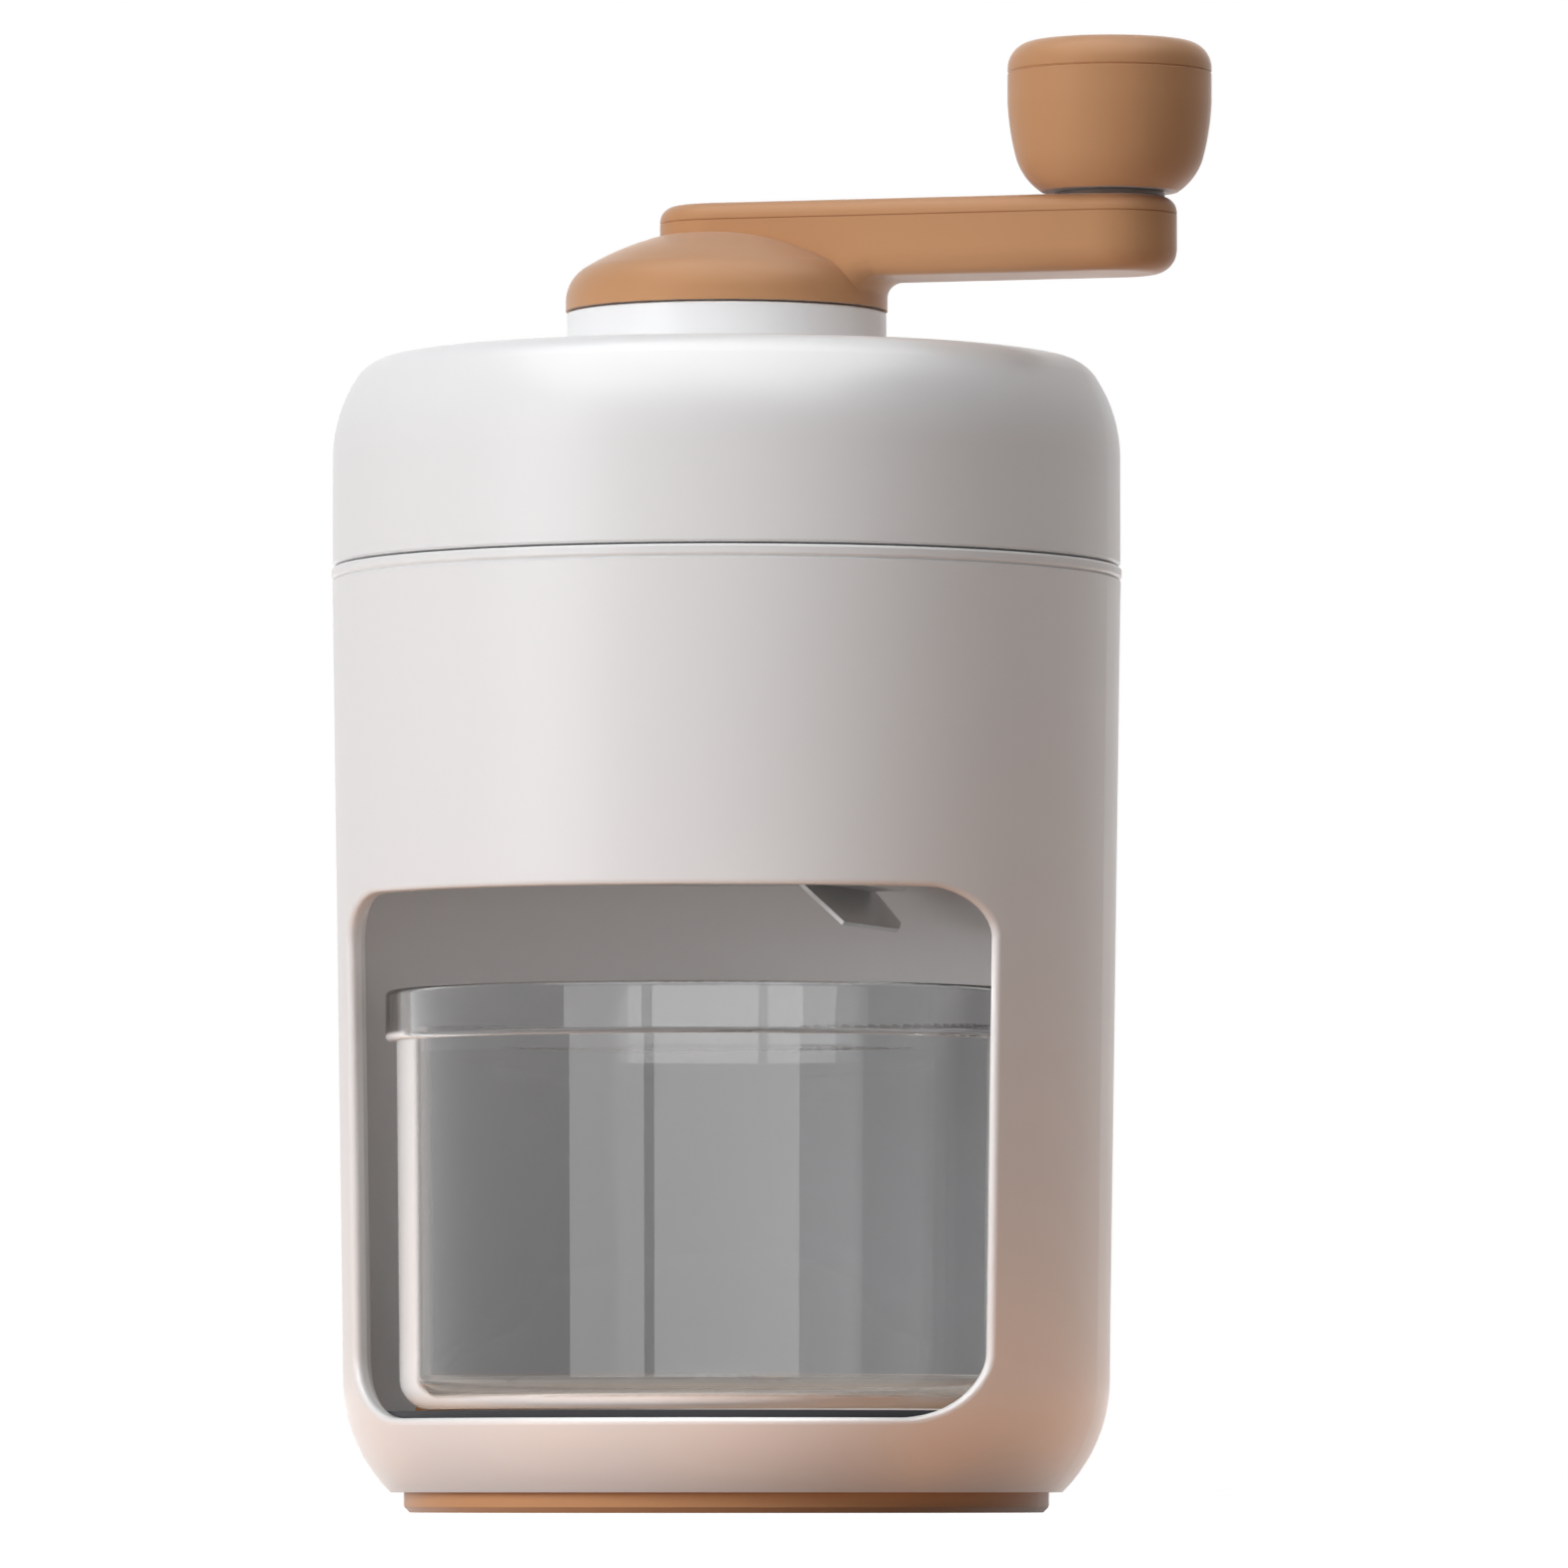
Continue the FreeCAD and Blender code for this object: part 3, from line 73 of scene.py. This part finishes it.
def aimCamera():
    pitch, yaw = math.radians(shot["pitch"]), math.radians(shot["yaw"])
    towards = -aside(shot["azimuth"], 0, 1)
    right = towards.cross(Vector((0, 0, 1)))
    ahead = (towards * math.cos(yaw) + right * math.sin(yaw)) * math.cos(pitch)
    ahead.z = math.sin(pitch)
    data = bpy.data.cameras.new("camera")
    data.lens = shot["lens"]
    data.sensor_width = shot["sensor"]
    data.clip_start, data.clip_end = shot["clip"]
    camera = bpy.data.objects.new("camera", data)
    camera.location = -towards * shot["distance"] + Vector((0, 0, shot["height"]))
    camera.rotation_euler = facing(ahead)
    scene.collection.objects.link(camera)
    scene.camera = camera


aimCamera()
scene.view_settings.view_transform = "Standard"
print("camera set")


# an input takes another node's output or a plain value
def feed(tree, socket, source):
    if isinstance(source, bpy.types.NodeSocket):
        tree.links.new(source, socket)
    else:
        socket.default_value = source


def ownPlace(tree):
    return tree.nodes.new("ShaderNodeTexCoord").outputs["Object"]


def mathNode(tree, kind, operation, *sources):
    node = tree.nodes.new(kind)
    node.operation = operation
    for socket, source in zip(node.inputs, sources):
        feed(tree, socket, source)
    return node


def ofTwo(tree, operation, first, second):
    return mathNode(tree, "ShaderNodeMath", operation, first, second).outputs["Value"]


def lengthOf(tree, vector):
    return mathNode(tree, "ShaderNodeVectorMath", "LENGTH", vector).outputs["Value"]


# carries a value from one span over to another
def mapped(tree, value, before, after=(0, 1), way="LINEAR"):
    node = tree.nodes.new("ShaderNodeMapRange")
    node.interpolation_type = way
    node.inputs["From Min"].default_value, node.inputs["From Max"].default_value = before
    node.inputs["To Min"].default_value, node.inputs["To Max"].default_value = after
    tree.links.new(value, node.inputs["Value"])
    return node.outputs["Result"]


# goes from 0 at the span's first value to 1 at its second, which may be the lower one
def smoothStep(tree, value, span):
    ends = (0, 1) if span[0] < span[1] else (1, 0)
    return mapped(tree, value, sorted(span), ends, "SMOOTHSTEP")


def mixTones(tree, share, first, second):
    node = tree.nodes.new("ShaderNodeMixRGB")
    feed(tree, node.inputs["Fac"], share)
    feed(tree, node.inputs["Color1"], first)
    feed(tree, node.inputs["Color2"], second)
    return node.outputs["Color"]


def toneRamp(tree, share, span, *tones):
    node = tree.nodes.new("ShaderNodeValToRGB")
    for element, position, tone in zip(node.color_ramp.elements, span, tones):
        element.position = position
        element.color = (*tone, 1)
    tree.links.new(share, node.inputs["Fac"])
    return node.outputs["Color"]


# 1 for rays of any of the kinds, else 0
def eitherRay(tree, kinds):
    path = tree.nodes.new("ShaderNodeLightPath")
    share = path.outputs[kinds[0]]
    for kind in kinds[1:]:
        share = ofTwo(tree, "MAXIMUM", share, path.outputs[kind])
    return share


# rays of the kinds meet the second shader, all others the first
def pickShader(tree, kinds, first, second, output):
    pick = tree.nodes.new("ShaderNodeMixShader")
    tree.links.new(eitherRay(tree, kinds), pick.inputs["Fac"])
    tree.links.new(first, pick.inputs[1])
    tree.links.new(second, pick.inputs[2])
    tree.links.new(pick.outputs["Shader"], tree.nodes[output].inputs["Surface"])


seenRays = ("Is Camera Ray", "Is Glossy Ray", "Is Transmission Ray")
lightRays = ("Is Shadow Ray", "Is Diffuse Ray")


def newFinish(name, sockets):
    material = bpy.data.materials.new(name)
    material.use_nodes = True
    shader = material.node_tree.nodes["Principled BSDF"]
    for socket, value in sockets.items():
        shader.inputs[socket].default_value = value
    return material


# scale is in waves per metre on the piece's own coordinates
def noiseOn(material, scale, detail=3.0, stretch=(1, 1, 1)):
    tree = material.node_tree
    mapping = tree.nodes.new("ShaderNodeMapping")
    mapping.inputs["Scale"].default_value = stretch
    noise = tree.nodes.new("ShaderNodeTexNoise")
    noise.inputs["Scale"].default_value = scale
    noise.inputs["Detail"].default_value = detail
    tree.links.new(ownPlace(tree), mapping.inputs["Vector"])
    tree.links.new(mapping.outputs["Vector"], noise.inputs["Vector"])
    return noise.outputs["Fac"]


# relief is laid over any relief that is there already
def addGrain(material, pattern, strength, depth):
    tree = material.node_tree
    shader = tree.nodes["Principled BSDF"]
    bump = tree.nodes.new("ShaderNodeBump")
    bump.inputs["Strength"].default_value = strength
    bump.inputs["Distance"].default_value = depth
    tree.links.new(pattern, bump.inputs["Height"])
    below = shader.inputs["Normal"].links
    if below:
        tree.links.new(below[0].from_socket, bump.inputs["Normal"])
    tree.links.new(bump.outputs["Normal"], shader.inputs["Normal"])


noiseSpan = (0.15, 0.85)    # wide enough that no island of the noise is cut flat


# gloss is the least and the most roughness
def addGloss(material, pattern, gloss):
    tree = material.node_tree
    roughness = mapped(tree, pattern, noiseSpan, gloss)
    tree.links.new(roughness, tree.nodes["Principled BSDF"].inputs["Roughness"])


# two close tones of one colour, cloudy over the piece
def addTones(material, pattern, darker, lighter):
    tree = material.node_tree
    tone = toneRamp(tree, pattern, noiseSpan, darker, lighter)
    tree.links.new(tone, tree.nodes["Principled BSDF"].inputs["Base Color"])


plastic = {
    "ior": 1.49,
    "cloud": 28,            # waves per metre of the tone's clouds
    "polish": 60,           # and of the gloss
    "spark": 5200,          # and of the mould's fine texture
    "sparkDetail": 2,
    "sparkDepth": 0.00004,
    "flow": 18,             # and of the slow waves left by moulding
    "flowDetail": 1,
    "flowStrength": 0.035,
    "flowDepth": 0.0001,
}


# grain is the strength of the mould's fine texture, tone the share by which the colour strays
def mouldedPlastic(name, colour, gloss, grain, tone, **sockets):
    finish = newFinish(name, {"IOR": plastic["ior"], **sockets})
    darker = [share * (1 - tone) for share in colour]
    lighter = [min(share * (1 + tone), 1) for share in colour]
    addTones(finish, noiseOn(finish, plastic["cloud"]), darker, lighter)
    addGloss(finish, noiseOn(finish, plastic["polish"]), gloss)
    spark = noiseOn(finish, plastic["spark"], plastic["sparkDetail"])
    addGrain(finish, spark, grain, plastic["sparkDepth"])
    flow = noiseOn(finish, plastic["flow"], plastic["flowDetail"])
    addGrain(finish, flow, plastic["flowStrength"], plastic["flowDepth"])
    return finish


steel = {
    "lines": 900,           # waves per metre across the fine lines
    "detail": 4,
    "lineTone": 0.93,       # how dark the lines are beside the metal
    "lineDepth": 0.00003,
}


# the fine lines run along the direction that is stretched least, grain is how strong they are
def drawnSteel(name, colour, gloss, stretch, grain):
    finish = newFinish(name, {"Metallic": 1.0})
    lines = noiseOn(finish, steel["lines"], steel["detail"], stretch)
    addTones(finish, lines, [share * steel["lineTone"] for share in colour], colour)
    addGloss(finish, lines, gloss)
    addGrain(finish, lines, grain, steel["lineDepth"])
    return finish


# heights are in metres on the cup, each pair from where a change starts to where it is full
clear = {
    "tint": (0.75, 0.755, 0.765),
    "lowTint": (0.92, 0.78, 0.66),      # low down the floor's colour is painted on, a painted reflection
    "low": (0.0232, 0.0196),
    "highlightTint": (0.93, 0.935, 0.94),
    "ior": 1.49,
    "gloss": (0.004, 0.02),
    "polish": 90,           # waves per metre of the gloss
    "polishDetail": 2,
    "flow": 30,             # and of the slow waves left by moulding
    "flowDetail": 1,
    "flowStretch": (1, 1, 0.35),
    "flowStrength": 0.012,
    "flowDepth": 0.0001,
    "letThrough": (0.88, 0.89, 0.89),   # the share of a lamp's light that reaches what is behind
    "edges": (0.62, 0.69),      # how far the wall turns away before its thickness turns milky white, a painted highlight
    "lip": (0.0785, 0.0775),    # the wall turns milky only below the lip
    "corner": (0.0194, 0.0182),     # and the floor's corner is milky white all round, a painted highlight
    "highlightMilkiness": 0.9,
}


# the wall is painted milky white where it is seen along its length and at the floor's corner:
# a painted highlight for the light that its thickness carries; lamps' light goes straight through
# it, so that what is behind it isn't in the dark
def clearPlastic(name):
    finish = newFinish(name, {"IOR": clear["ior"]})
    addGloss(finish, noiseOn(finish, clear["polish"], clear["polishDetail"]), clear["gloss"])
    flow = noiseOn(finish, clear["flow"], clear["flowDetail"], clear["flowStretch"])
    addGrain(finish, flow, clear["flowStrength"], clear["flowDepth"])
    tree = finish.node_tree
    shader = tree.nodes["Principled BSDF"]
    turned = tree.nodes.new("ShaderNodeLayerWeight").outputs["Facing"]
    heights = tree.nodes.new("ShaderNodeSeparateXYZ")
    tree.links.new(ownPlace(tree), heights.inputs["Vector"])
    height = heights.outputs["Z"]
    # white and less clear where the wall is seen along its length and at the corner, a painted
    # highlight
    edge = ofTwo(
        tree, "MULTIPLY", smoothStep(tree, turned, clear["edges"]),
        smoothStep(tree, height, clear["lip"]))
    paintedHighlight = ofTwo(tree, "MAXIMUM", edge, smoothStep(tree, height, clear["corner"]))
    clearness = mapped(tree, paintedHighlight, (0, 1), (1, 1 - clear["highlightMilkiness"]))
    tree.links.new(clearness, shader.inputs["Transmission Weight"])
    # low down the wall's tint turns to the floor's colour, a painted reflection
    reflectedWallTint = mixTones(
        tree, smoothStep(tree, height, clear["low"]), (*clear["tint"], 1), (*clear["lowTint"], 1))
    tint = mixTones(tree, paintedHighlight, reflectedWallTint, (*clear["highlightTint"], 1))
    tree.links.new(tint, shader.inputs["Base Color"])
    through = tree.nodes.new("ShaderNodeBsdfTransparent")
    through.inputs["Color"].default_value = (*clear["letThrough"], 1)
    pickShader(
        tree, lightRays, shader.outputs["BSDF"], through.outputs["BSDF"], "Material Output")
    return finish


colours = {
    "white": (0.855, 0.855, 0.858),
    "innerWhite": (0.80, 0.79, 0.78),
    "grey": (0.70, 0.70, 0.71),
    "tan": (0.53, 0.275, 0.135),
    "acetal": (0.72, 0.70, 0.64),
    "darkAcetal": (0.09, 0.065, 0.05),
    "shadowGrey": (0.05, 0.05, 0.055),
    "rubber": (0.05, 0.045, 0.042),
    "steel": (0.62, 0.61, 0.60),
    "bladeSteel": (0.70, 0.70, 0.70),
}

softShine = {"Specular IOR Level": 0.15, "Sheen Weight": 0.4, "Sheen Roughness": 0.35}

tanPlastic = {"colour": "tan", "gloss": (0.36, 0.44), "grain": 0.08, "tone": 0.02, **softShine}

mouldedLooks = {
    "satinWhite": {"colour": "white", "gloss": (0.27, 0.33), "grain": 0.035, "tone": 0.004},
    "innerWhite": {"colour": "innerWhite", "gloss": (0.42, 0.52), "grain": 0.12, "tone": 0.01},
    "bayGrey": {"colour": "grey", "gloss": (0.45, 0.55), "grain": 0.05, "tone": 0.01},
    "warmTan": tanPlastic,
    # the bay floor's tan, with a painted shade on its rim
    "rimmedTan": tanPlastic,
    "darkBearing": {"colour": "darkAcetal", "gloss": (0.4, 0.5), "grain": 0.1, "tone": 0.03},
    "bearing": {"colour": "acetal", "gloss": (0.4, 0.5), "grain": 0.1, "tone": 0.015},
    "softGrip": {"colour": "rubber", "gloss": (0.7, 0.85), "grain": 0.6, "tone": 0.03},
}

steelLooks = {
    "screwSteel": {
        "colour": "steel", "gloss": (0.28, 0.42), "stretch": (1, 1, 0.2), "grain": 0.15},
    "shaftSteel": {
        "colour": "steel", "gloss": (0.2, 0.34), "stretch": (0.15, 0.15, 2.5), "grain": 0.2},
    "springSteel": {
        "colour": "steel", "gloss": (0.22, 0.36), "stretch": (1, 1, 1), "grain": 0.1},
    "groundSteel": {
        "colour": "bladeSteel", "gloss": (0.16, 0.3), "stretch": (0.12, 2.2, 0.12), "grain": 0.16},
}

finishes = {}
for make, looks in ((mouldedPlastic, mouldedLooks), (drawnSteel, steelLooks)):
    for name, look in looks.items():
        finishes[name] = make(name, **{**look, "colour": colours[look["colour"]]})
finishes["clearCup"] = clearPlastic("clearCup")

# the bay floor's rim is painted dark, a painted shade for the gap under the cup's corner, outwards
# from this distance
paintedShadeRadii = (0.0568, 0.0573)


# lays a painted shade on the finish, dark towards the piece's rim
def paintShadeOnRim(finish, colour):
    tree = finish.node_tree
    flat = mathNode(tree, "ShaderNodeVectorMath", "MULTIPLY", ownPlace(tree), (1, 1, 0))
    share = mapped(tree, lengthOf(tree, flat.outputs["Vector"]), paintedShadeRadii)
    base = tree.nodes["Principled BSDF"].inputs["Base Color"]
    paint = mixTones(tree, share, base.links[0].from_socket, (*colour, 1))
    tree.links.new(paint, base)


paintShadeOnRim(finishes["rimmedTan"], colours["shadowGrey"])

dressing = {
    "satinWhite": ["body_shell", "ice_chamber", "lid_shell", "neck_collar"],
    "innerWhite": ["blade_disc", "lid_liner", "presser_plate"],
    "bayGrey": ["bay_liner"],
    "warmTan": ["foot_base", "crank_arm", "arm_cover", "knob_body", "knob_cap"],
    "rimmedTan": ["bay_floor"],
    "bearing": ["shaft_bush", "thrust_washer"],
    "darkBearing": ["knob_washer"],
    "softGrip": ["grip_ring"],
    "screwSteel": [
        "base_screws", "disc_screws", "blade_screws", "collar_screws", "hub_screw", "stop_screw",
        "knob_pin", "shaft_clip", "spring_washer", "stop_washer"],
    "shaftSteel": ["drive_shaft"],
    "groundSteel": ["blade"],
    "clearCup": ["cup"],
}


def dress(piece, finish):
    piece.data.materials.clear()
    piece.data.materials.append(finish)


for finish, names in dressing.items():
    for name in names:
        dress(cadNodes[name], finishes[finish])
print("finishes on:", sum(len(names) for names in dressing.values()), "nodes")


def newPiece(name, mesh):
    data = bpy.data.meshes.new(name)
    mesh.to_mesh(data)
    mesh.free()
    piece = bpy.data.objects.new(name, data)
    scene.collection.objects.link(piece)
    return piece


spring = {
    "radius": 0.0097,
    "wire": 0.0006,
    "low": 0.1202,
    "high": 0.1801,
    "turns": 8,
    "stepsPerTurn": 48,
    "sides": 14,
    "anchor": (0, 0, 0.1196),
    "squashed": 0.3126,     # share of its length that is left with the presser right up
}


def windSpring():
    mesh = bmesh.new()
    start = Matrix.Translation((spring["radius"], 0, spring["low"]))
    start = start @ Matrix.Rotation(math.pi / 2, 4, "X")
    bmesh.ops.create_circle(
        mesh, segments=spring["sides"], radius=spring["wire"], matrix=start, cap_ends=True)
    steps = spring["turns"] * spring["stepsPerTurn"]
    rise = (spring["high"] - spring["low"]) / steps
    bmesh.ops.spin(
        mesh, geom=mesh.faces[:] + mesh.edges[:] + mesh.verts[:], cent=(0, 0, 0),
        axis=(0, 0, 1), dvec=(0, 0, rise), angle=2 * math.pi * spring["turns"], steps=steps)
    bmesh.ops.recalc_face_normals(mesh, faces=mesh.faces[:])
    wound = newPiece("springCoil", mesh)
    wound.data.shade_smooth()
    dress(wound, finishes["springSteel"])
    return wound


coil = windSpring()
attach(coil, "presser")
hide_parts("presser_spring")
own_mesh(coil)
print("spring wound")


ground = {
    "reach": 12,
    "drop": 0.0001,
    "paper": (0.86, 0.86, 0.86),    # as seen
    "roughness": 0.9,
    "lifts": (0.5, 2.2),
    "lift": (0.74, 1.0),    # its own white at those distances, to meet the backdrop without a line
    "tones": (0.10, 0.32),
    "nearShadedTone": (0.33, 0.155, 0.065),   # of the light that it throws back, at those distances; darker near the foot, a painted shade
    "farTone": (0.48, 0.41, 0.37),
}


def layFloor():
    mesh = bmesh.new()
    below = Matrix.Translation((0, 0, -ground["drop"]))
    bmesh.ops.create_grid(
        mesh, x_segments=1, y_segments=1, size=ground["reach"], matrix=below)
    floor = newPiece("floor", mesh)
    finish = newFinish("floorPaper", {
        "Base Color": (*ground["paper"], 1), "Roughness": ground["roughness"],
        "Specular IOR Level": 0.0})
    tree = finish.node_tree
    distance = lengthOf(tree, ownPlace(tree))
    lift = tree.nodes.new("ShaderNodeEmission")
    tree.links.new(
        mapped(tree, distance, ground["lifts"], ground["lift"]), lift.inputs["Strength"])
    shown = tree.nodes.new("ShaderNodeAddShader")
    tree.links.new(tree.nodes["Principled BSDF"].outputs["BSDF"], shown.inputs[0])
    tree.links.new(lift.outputs["Emission"], shown.inputs[1])
    bounce = tree.nodes.new("ShaderNodeBsdfDiffuse")
    share = mapped(tree, distance, ground["tones"])
    tone = toneRamp(tree, share, (0, 1), ground["nearShadedTone"], ground["farTone"])
    tree.links.new(tone, bounce.inputs["Color"])
    pickShader(
        tree, seenRays, bounce.outputs["BSDF"], shown.outputs["Shader"], "Material Output")
    dress(floor, finish)


air = {
    "backdrop": (1.0, 1.0, 1.0),
    "backdropStrength": 1.0,
    "fill": (1.0, 0.96, 0.93),
    "fillStrength": 0.015,
}


def fillAir():
    world = bpy.data.worlds.new("air")
    world.use_nodes = True
    scene.world = world
    tree = world.node_tree
    fill = tree.nodes["Background"]
    fill.inputs["Color"].default_value = (*air["fill"], 1)
    fill.inputs["Strength"].default_value = air["fillStrength"]
    backdrop = tree.nodes.new("ShaderNodeBackground")
    backdrop.inputs["Color"].default_value = (*air["backdrop"], 1)
    backdrop.inputs["Strength"].default_value = air["backdropStrength"]
    pickShader(
        tree, seenRays, fill.outputs["Background"], backdrop.outputs["Background"],
        "World Output")


# "from" is azimuth, elevation and distance, "at" the point that the lamp faces, "on" the only
# nodes that it lights, and "hidden" what it adds no light to: gloss or plain surfaces; the first
# four shape the whole object, the panes are pale windows that show in the cup and on the gloss,
# and each of the rest lights one place
lamps = {
    "keyLamp": {
        "from": (-36, 16, 1.5), "at": (0, 0, 0.12), "size": (0.8, 0.8), "watts": 14.2,
        "colour": (0.985, 1.0, 1.015), "hidden": ["glossy"]},
    "topLamp": {
        "from": (65, 80, 0.9), "at": (0, 0, 0.17), "size": (0.9, 0.9), "watts": 3.4},
    "backLamp": {
        "from": (188, 24, 1.5), "at": (0, 0, 0.12), "size": (0.8, 0.8), "watts": 14.0,
        "hidden": ["glossy"]},
    "faceLamp": {
        "from": (16.5, 6, 1.7), "at": (0, 0, 0.08), "size": (0.7, 0.5), "watts": 3.5,
        "colour": (0.97, 1.0, 1.04), "hidden": ["glossy"]},
    "bayLamp": {
        "from": (-16, 41, 0.0955), "at": (0, 0.1, 0.0627), "size": (0.11, 0.07), "watts": 0.032,
        "hidden": ["glossy"],
        "on": ["bay_liner", "bay_floor", "blade_disc", "blade", "ice_chamber"]},
    "sillLamp": {
        "from": (8, 56.1, 0.1175), "at": (0.01, -0.0655, 0), "size": (0.13, 0.006),
        "watts": 0.031, "hidden": ["glossy"], "on": ["body_shell"]},
    "jambLamp": {
        "from": (44, 43, 0.081), "at": (-0.053, -0.034, 0.055), "size": (0.07, 0.008),
        "watts": 0.019, "hidden": ["glossy"], "on": ["body_shell"]},
    "leftPane": {
        "from": (-21, 0, 1.5), "at": (0, 0, 0), "size": (0.754, 1.2), "watts": 8.2,
        "hidden": ["diffuse"], "on": ["cup"]},
    "middlePane": {
        "from": (22.95, 0, 1.5), "at": (0, 0, 0), "size": (1.473, 1.2), "watts": 17.6,
        "hidden": ["diffuse"], "on": ["cup"]},
    "rightPane": {
        "from": (61.3, 0, 1.5), "at": (0, 0, 0), "size": (0.649, 1.2), "watts": 2.0,
        "hidden": ["diffuse"], "on": ["cup"]},
    "cupLamp": {
        "from": (-55, -14, 0.3), "at": (0, -0.01, 0.02), "size": (0.15, 0.15), "watts": 0.36,
        "hidden": ["glossy"], "on": ["cup"], "shadow": False},
    "footLamp": {
        "from": (-60, 5, 1.0), "at": (0, 0, 0), "size": (0.4, 0.3), "watts": 2.2,
        "hidden": ["glossy"], "on": ["foot_base"]},
    "topPane": {
        "from": (5, 70, 1.0), "at": (0, 0, 0.15), "size": (1.4, 1.1), "watts": 16.0,
        "hidden": ["diffuse"]},
}

# warm light that the floor throws up at the underside, from a ring round the foot
glow = {
    "azimuths": range(0, 360, 24),
    "distance": 0.11,
    "drop": 0.00005,
    "side": 0.07,
    "watts": 0.0057,
    "colour": (1.0, 0.36, 0.07),
}


def ringGlow():
    for azimuth in glow["azimuths"]:
        spot = aside(azimuth, 0, glow["distance"])
        spot.z = -glow["drop"]
        lamps[f"glow{azimuth}"] = {
            "place": spot, "at": (spot.x, spot.y, 1), "size": (glow["side"], glow["side"]),
            "watts": glow["watts"], "colour": glow["colour"], "hidden": ["glossy"]}


def hangLamp(name, lamp):
    data = bpy.data.lights.new(name, "AREA")
    data.shape = "RECTANGLE"
    data.size, data.size_y = lamp["size"]
    data.energy = lamp["watts"]
    data.color = lamp.get("colour", (1.0, 1.0, 1.0))
    data.use_shadow = lamp.get("shadow", True)
    light = bpy.data.objects.new(name, data)
    light.location = lamp["place"] if "place" in lamp else aside(*lamp["from"])
    light.rotation_euler = facing(Vector(lamp["at"]) - light.location)
    light.visible_camera = False
    light.visible_transmission = False
    light.visible_glossy = "glossy" not in lamp.get("hidden", ())
    light.visible_diffuse = "diffuse" not in lamp.get("hidden", ())
    if "on" in lamp:
        lit = bpy.data.collections.new(name + "Lights")
        for node in lamp["on"]:
            lit.objects.link(cadNodes[node])
        light.light_linking.receiver_collection = lit
    scene.collection.objects.link(light)


layFloor()
fillAir()
ringGlow()
for name, lamp in lamps.items():
    hangLamp(name, lamp)
print("lit by", len(lamps), "lamps")
